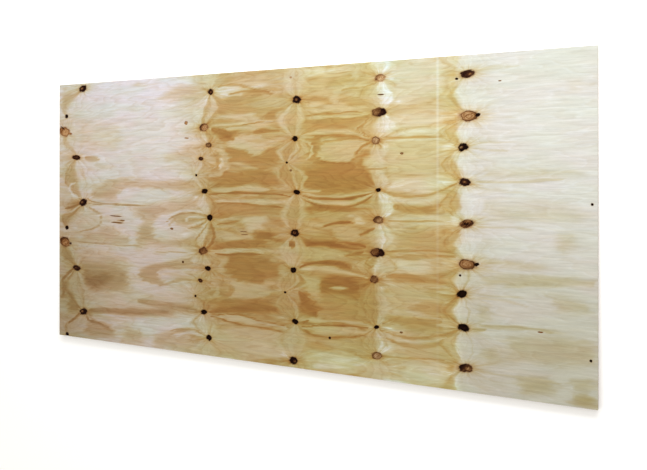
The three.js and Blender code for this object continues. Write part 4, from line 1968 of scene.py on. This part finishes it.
class FaceFinish(Recipe):
    """The peeled face: growth rings, fibres, knots and the wood drawn round them."""

    # The colours of the pinkish left wood, the yellow middle wood and the whitish right
    # wood, from early wood to late.
    LEFT: Stops = (
        (0.0, seen(242, 239, 240)), (0.15, seen(238, 231, 227)), (0.3, seen(233, 219, 199)),
        (0.5, seen(215, 190, 153)), (0.75, seen(189, 152, 104)), (1.0, seen(152, 114, 66)),
    )
    MIDDLE: Stops = (
        (0.0, seen(240, 235, 224)), (0.1, seen(222, 207, 171)), (0.28, seen(213, 190, 143)),
        (0.5, seen(203, 172, 112)), (0.76, seen(191, 145, 77)), (1.0, seen(168, 112, 44)),
    )
    RIGHT: Stops = (
        (0.0, seen(236, 237, 232)), (0.2, seen(231, 229, 220)), (0.4, seen(220, 213, 188)),
        (0.65, seen(205, 191, 146)), (1.0, seen(184, 160, 104)),
    )

    # The colours of a knot, by its lightness.
    HEART: Stops = (
        (0.0, seen(34, 14, 8)), (0.22, seen(74, 42, 25)), (0.45, seen(124, 83, 46)),
        (0.7, seen(174, 130, 84)), (1.0, seen(214, 181, 136)),
    )

    # Where a pale stripe crosses the sheet, and half its width, in metres.
    STRIPE = 0.672
    STRIPE_HALF = 0.009

    # How far the fine rays round a knot are drawn out along the grain.
    RAY_STRETCH = 2.2

    # How far a knot's resin soaks the wood along and across it, in the knot's half sizes.
    SOAKED = (1.9, 1.5)

    def build(self) -> bpy.types.Material:
        """Builds the finish.

        Returns:
            The material.
        """
        spot = Spot(self)
        tone = self._tone(spot)
        color = self._halo(self._wood(tone), spot)
        color, knot = self._knot(color, spot)
        fibre = self.grain(28, 1500, 400, 3, 0.6)
        height = fibre * 0.6 + tone * 0.3 + knot * -0.5
        return self.finish(color, tone.rise(0, 1, 0.72, 0.58), height, 0.35, 0.25 - knot * 0.23)

    def _tone(self, spot: Spot) -> Signal:
        """The tone with the grain's fine raggedness and the rays round knots.

        Args:
            spot: the place in the nearest knot.

        Returns:
            The tone.
        """
        ahead = spot.along / self.RAY_STRETCH
        far = self.length(ahead, spot.across)
        near = self.math("MAXIMUM", far, 0.5)
        around = self.join(ahead / near * 8.0, spot.across / near * 8.0, spot.habit + far * 0.012)
        rays = (self.noise(around, 2, 0.7) - 0.5) * (far.fall(8, 58, 0.72) * spot.flare)
        tone = self.number("tone") + rays
        for along, across, swing in ((4, 26, 0.12), (9, 90, 0.12), (30, 420, 0.10)):
            tone = tone + (self.grain(along, across) - 0.5) * swing
        return tone

    def _wood(self, tone: Signal) -> Signal:
        """The clear wood's colour, with the painted shade towards the near long edge.

        Args:
            tone: its tone.

        Returns:
            The colour.
        """
        left, middle, right = self.attribute("zone")
        x, y, _ = self.place.numbers()
        color = self.mix(middle, self.ramp(tone, self.LEFT), self.ramp(tone, self.MIDDLE))
        color = self.mix(right, color, self.ramp(tone, self.RIGHT))
        color = self._rings(color, tone, right)
        cast = self.grain(4, 12).rise(0.36, 0.64)
        pink = self.mix(cast, (0.975, 1.012, 0.945), (1.032, 0.978, 0.99))
        color = self.tint(right.rise(0, 1, 1.0, 0.5), color, pink)
        clear = y.rise(-0.3, 0.6, 0.06, 0.32)
        stripe = abs(x - self.STRIPE).fall(0.0, self.STRIPE_HALF, clear)
        color = self.mix(stripe, color, seen(240, 234, 216))
        zones = {Zone.LEFT: left, Zone.RIGHT: right, Zone.NOT_RIGHT: right.fall(0, 1)}
        # Some of the tints are painted shade towards the near long edge.
        for tint in TINTS:
            color = self.tint(tint.share(x, y, zones), color, tint.color)
        for along, across, dim, bright in ((9, 260, 0.94, 1.05), (8, 110, 0.92, 1.07)):
            streak = self.grain(along, across, 1, 3, 0.6)
            color = self.shade(color, streak.rise(0.25, 0.75, dim, bright))
        fibre = self.grain(60, 2600, 1, 2, 0.6)
        color = self.shade(color, fibre.rise(0.3, 0.7, 0.93, 1.05))
        checks = self.grain(26, 900, 1, 1, 0.4)
        return self.mix(checks.rise(0.72, 0.80, 0, 0.35), color, seen(120, 92, 58))

    def _rings(self, color: Signal, tone: Signal, right: Signal) -> Signal:
        """Draws the growth rings: a dark late line, and a pale early one behind it.

        Args:
            color: the wood's colour.
            tone: its tone.
            right: how much the place belongs to the right wood, whose rings are faint.

        Returns:
            The colour with the rings.
        """
        wander = self.grain(11, 90, 1, 2, 0.6) * 0.9
        ring = (self.number("rings") + wander).fraction()
        late = ring.rise(0.5, 0.9) * ring.fall(0.9, 1.0)
        late = late * right.rise(0, 1, 0.5, 0.2) * tone.rise(0.1, 0.6, 0.65, 1.0)
        color = self.tint(late, color, (0.84, 0.72, 0.56))
        early = ring.rise(0.0, 0.06) * ring.fall(0.06, 0.3) * 0.5
        return self.tint(early, color, (1.07, 1.09, 1.15))

    def _halo(self, color: Signal, spot: Spot) -> Signal:
        """Darkens the resin-soaked wood round a knot, and draws fine spokes out of it.

        Args:
            color: the clear wood's colour.
            spot: the place in the nearest knot.

        Returns:
            The colour with the halo.
        """
        strength = self.math("MINIMUM", spot.flare, 1.0)
        ahead = spot.along / (spot.half_long * self.SOAKED[0])
        aside = spot.across / (spot.half_wide * self.SOAKED[1])
        far = self.length(ahead, aside)
        soaked = far + (self.grain(60, 240, 1, 2, 0.6) - 0.5) * 0.9
        color = self.tint(soaked.fall(0.45, 1.1, 0.5) * strength, color, (0.84, 0.64, 0.34))
        color = self.tint(soaked.fall(0.6, 1.9, 0.5) * strength, color, (0.96, 0.83, 0.5))
        near = self.math("MAXIMUM", far, 0.1)
        around = self.join(ahead / near * 5.0, aside / near * 5.0, spot.habit + far * 0.5)
        spokes = self.noise(around, 2, 0.6).rise(0.48, 0.7) * (far.fall(0.6, 2.2, 0.6) * strength)
        return self.tint(spokes, color, (0.80, 0.62, 0.38))

    def _knot(self, color: Signal, spot: Spot) -> tuple[Signal, Signal]:
        """Puts the knots in.

        Args:
            color: the colour of the wood round them.
            spot: the place in the nearest knot.

        Returns:
            The colour with the knots, and how much each place is in one.
        """
        lobes = self.noise(self.join(spot.ahead * 1.5, spot.aside * 1.5, spot.habit), 1, 0.5)
        down = spot.ahead * 0.85 - spot.aside * 0.5
        over = spot.ahead * 0.5 + spot.aside * 0.85
        mottle = self.noise(self.join(over, down * 2.6, spot.habit), 3, 0.6) - 0.5
        out = self.length(spot.ahead, spot.aside) + (lobes - 0.5) * 0.7 + mottle * 0.3
        heart = self._heart(spot, out, down, mottle)
        color = self.tint(out.fall(0.95, 1.4, 0.65), color, (0.66, 0.44, 0.28))
        inside = out.fall(0.86, 1.12)
        return self.mix(inside, color, heart), inside

    def _heart(self, spot: Spot, out: Signal, down: Signal, mottle: Signal) -> Signal:
        """The colour of a knot: its core, its rim, its rings, its dark side and its bark, and painted
        shade on the floor of a deep hollow.

        Args:
            spot: the place in the knot.
            out: how far out the place lies, where the knot's ragged outline is 1.
            down: how far down its slope the place lies, in half sizes.
            mottle: the knot's own unevenness, from -0.5 to 0.5.

        Returns:
            The colour.
        """
        core, rim, side = self.attribute("knot_wood")
        sway = (self.noise(self.join(spot.habit, 0.5, 0.5), 0, 0.5) - 0.5) * 1.4
        lean = side * 0.45 + sway * (1.0 - abs(side))
        far = self.length(spot.ahead + lean * 0.85, spot.aside - lean * 0.5)
        far = far - spot.hollow.rise(0.2, 0.8, 0.6, 0.15) + mottle * 0.9
        light = core + far.rise(0.0, 0.4) * (rim - core)
        ring = self.math("SINE", out * 19.0) * 0.14
        ring = ring + mottle * spot.hollow.rise(0.2, 0.8, 1.3, 2.6)
        light = light + ring * (light + 0.18)
        dark = (down * side + mottle * 0.8).rise(-0.05, 0.5) * abs(side)
        heart = self.ramp(light * (1.0 - dark), self.HEART)
        heart = self.tint(spot.red * 0.8, heart, (1.0, 0.74, 0.56))
        bark = out.rise(0.7, 0.84) * out.fall(0.9, 1.04) * spot.hollow.fall(0.2, 0.8, 0.75)
        heart = self.tint(bark, heart, (0.5, 0.38, 0.3))
        # Painted shade: the floor of a deep hollow is darkened.
        return self.shade(heart, spot.hollow.rise(1.5, 3.0, 1.0, 0.6))


class EdgeFinish(Recipe):
    """A sawn edge: five plies, whose grain runs across each other, and their glue lines."""

    # How far the glue lines wander up and down, in mm.
    WANDER = 0.7

    def __init__(self, name: str, first_end: bool) -> None:
        """Starts the finish.

        Args:
            name: the material's name.
            first_end: whether the face ply shows its end grain here.
        """
        super().__init__(name)
        self.first_end = first_end

    def build(self) -> bpy.types.Material:
        """Builds the finish.

        Returns:
            The material.
        """
        _, _, up = self.place.numbers()
        wander = self.grain(9, 9, 0) - 0.5
        ply = (up + wander * (self.WANDER * MM)) / (PLY * MM)
        odd = self.math("FLOOR", ply) % 2.0
        end = 1.0 - odd if self.first_end else odd
        long_grain = self.grain(22, 22, 900, 3, 0.6)
        end_grain = self.grain(420, 420, 900, 3, 0.7)
        slow = self.grain(14, 14, 60)
        clear = self.ramp(long_grain, ((0.3, seen(196, 160, 108)), (0.7, seen(226, 201, 156))))
        cut = self.ramp(end_grain, (
            (0.28, seen(122, 86, 50)), (0.5, seen(176, 138, 92)), (0.75, seen(204, 170, 124)),
        ))
        color = self.mix(end, clear, cut)
        cloud = self.ramp(slow, ((0.3, (0.86, 0.83, 0.78)), (0.7, (1.05, 1.04, 1.02))))
        color = self.tint(1.0, color, cloud)
        glue = abs((ply + 0.5).fraction() - 0.5).fall(0.02, 0.06)
        glue = glue * (ply.rise(0.4, 0.5) * ply.fall(PLY_COUNT - 0.5, PLY_COUNT - 0.4))
        color = self.mix(glue * 0.75, color, seen(84, 52, 34))
        # Painted shade: the gaps in the end-grain plies are coloured near-black, as voids in shade.
        gap = self.grain(16, 16, 150, 1).rise(0.74, 0.77) * end
        color = self.mix(gap, color, seen(40, 24, 16))
        height = long_grain + end * (end_grain - long_grain) - gap * 2.0
        return self.finish(color, 0.82, height, 0.3)


class BackFinish(Recipe):
    """The back ply: the same wood, with a plain figure of long flames and no knots."""

    WOOD: Stops = (
        (0.0, seen(232, 220, 186)), (0.1, seen(224, 208, 170)), (0.45, seen(214, 192, 148)),
        (0.9, seen(192, 156, 104)), (1.0, seen(232, 220, 186)),
    )

    def build(self) -> bpy.types.Material:
        """Builds the finish.

        Returns:
            The material.
        """
        level = self.grain(0.8, 7.5, 1, 3, 0.45) * 7.0
        ring = (level + (self.grain(24, 380) - 0.5) * 0.14).fraction()
        streak = self.grain(9, 260, 1, 3, 0.6)
        color = self.shade(self.ramp(ring, self.WOOD), streak.rise(0.25, 0.75, 0.88, 1.06))
        fibre = self.grain(60, 2600, 1, 2, 0.6)
        return self.finish(color, 0.72, fibre * 0.6 + ring * 0.3, 0.35)


# ------------------------------------------------------------------ the studio


@dataclass(frozen=True)
class Studio:
    """A pale floor, soft light from beyond the far long edge, and the camera over it.

    Attributes:
        floor_reach: how far the floor reaches each way, in metres.
        floor_gap: how far it lies under the sheet, in metres.
        eye: where the camera stands, in metres.
        look: the way it looks.
        lens: its focal length for a sensor 36 mm wide, in mm.
        shift: how far its picture is shifted up, as a share of its width.
        lamp: where the far light hangs, in metres.
        aim: where it shines, in metres.
        lamp_size: its length and height, in metres.
        lamp_color: its colour.
        power: its power, in watts.
        sky: the strength of the light from all round.
        sky_color: that light's colour.
    """

    floor_reach: float = 12.0
    floor_gap: float = 0.0005
    eye: tuple[float, float, float] = (1.341, 0.186, 2.427)
    look: tuple[float, float, float] = (-0.4258, 0.0, -0.9048)
    lens: float = 37.2
    shift: float = -0.0975
    lamp: tuple[float, float, float] = (0.2, 1.4, 0.85)
    aim: tuple[float, float, float] = (0.0, 0.45, 0.0)
    lamp_size: tuple[float, float] = (3.6, 0.6)
    lamp_color: Color = (0.96, 0.98, 1.0)
    power: float = 53.5
    sky: float = 1.0
    sky_color: Color = (1.0, 0.965, 0.9)

    def build(self) -> None:
        """Sets the floor, the lights and the camera."""
        self._floor()
        self._sky()
        self._far_light()
        self._camera()
        LOG.info("studio: floor, far light, sky and camera")

    def _floor(self) -> None:
        """Lays the floor just under the sheet."""
        mesh = bpy.data.meshes.new("floor")
        bm = bmesh.new()
        bmesh.ops.create_grid(bm, x_segments=1, y_segments=1, size=self.floor_reach)
        bmesh.ops.translate(bm, verts=bm.verts, vec=(0, 0, -self.floor_gap))
        bm.to_mesh(mesh)
        bm.free()
        recipe = Recipe("pale floor")
        cloud = recipe.grain(0.7, 0.7)
        color = recipe.ramp(cloud, ((0.3, (0.93, 0.94, 0.96)), (0.7, (0.95, 0.96, 0.98))))
        mesh.materials.append(recipe.finish(color, 0.9, cloud, 0.0))
        floor = bpy.data.objects.new("floor", mesh)
        bpy.context.collection.objects.link(floor)

    def _sky(self) -> None:
        """Sets the soft light from all round."""
        world = bpy.data.worlds.new("sky")
        world.use_nodes = True
        backdrop = world.node_tree.nodes["Background"]
        backdrop.inputs[0].default_value = (*self.sky_color, 1.0)
        backdrop.inputs[1].default_value = self.sky
        bpy.context.scene.world = world

    def _far_light(self) -> None:
        """Hangs the long light beyond the far edge."""
        light = bpy.data.lights.new("far light", "AREA")
        light.shape = "RECTANGLE"
        light.size, light.size_y = self.lamp_size
        light.energy = self.power
        light.color = self.lamp_color
        lamp = bpy.data.objects.new("far light", light)
        lamp.location = self.lamp
        aim = Vector(self.aim) - lamp.location
        lamp.rotation_euler = aim.to_track_quat("-Z", "Y").to_euler()
        bpy.context.collection.objects.link(lamp)

    def _camera(self) -> None:
        """Sets the camera."""
        data = bpy.data.cameras.new("camera")
        data.sensor_width = 36
        data.lens = self.lens
        data.shift_y = self.shift
        data.clip_end = 60
        camera = bpy.data.objects.new("camera", data)
        camera.location = self.eye
        back = -Vector(self.look)
        right = Vector((0, 1, 0)).cross(back).normalized()
        camera.rotation_euler = Matrix((right, back.cross(right), back)).transposed().to_euler()
        bpy.context.collection.objects.link(camera)
        bpy.context.scene.camera = camera


def main() -> None:
    """Dresses the sheet."""
    logging.basicConfig(level=logging.INFO, format="%(name)s: %(message)s")
    scene = bpy.context.scene
    scene.view_settings.view_transform = "Standard"
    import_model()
    finishes = (
        FaceFinish("veneer face"),
        EdgeFinish("long edge", first_end=False),
        EdgeFinish("end edge", first_end=True),
        BackFinish("veneer back"),
    )
    sheet = SheetMesh().build([finish.build() for finish in finishes])
    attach(sheet, "root")
    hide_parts(NODE)
    Studio().build()


if __name__ == "__main__":
    main()
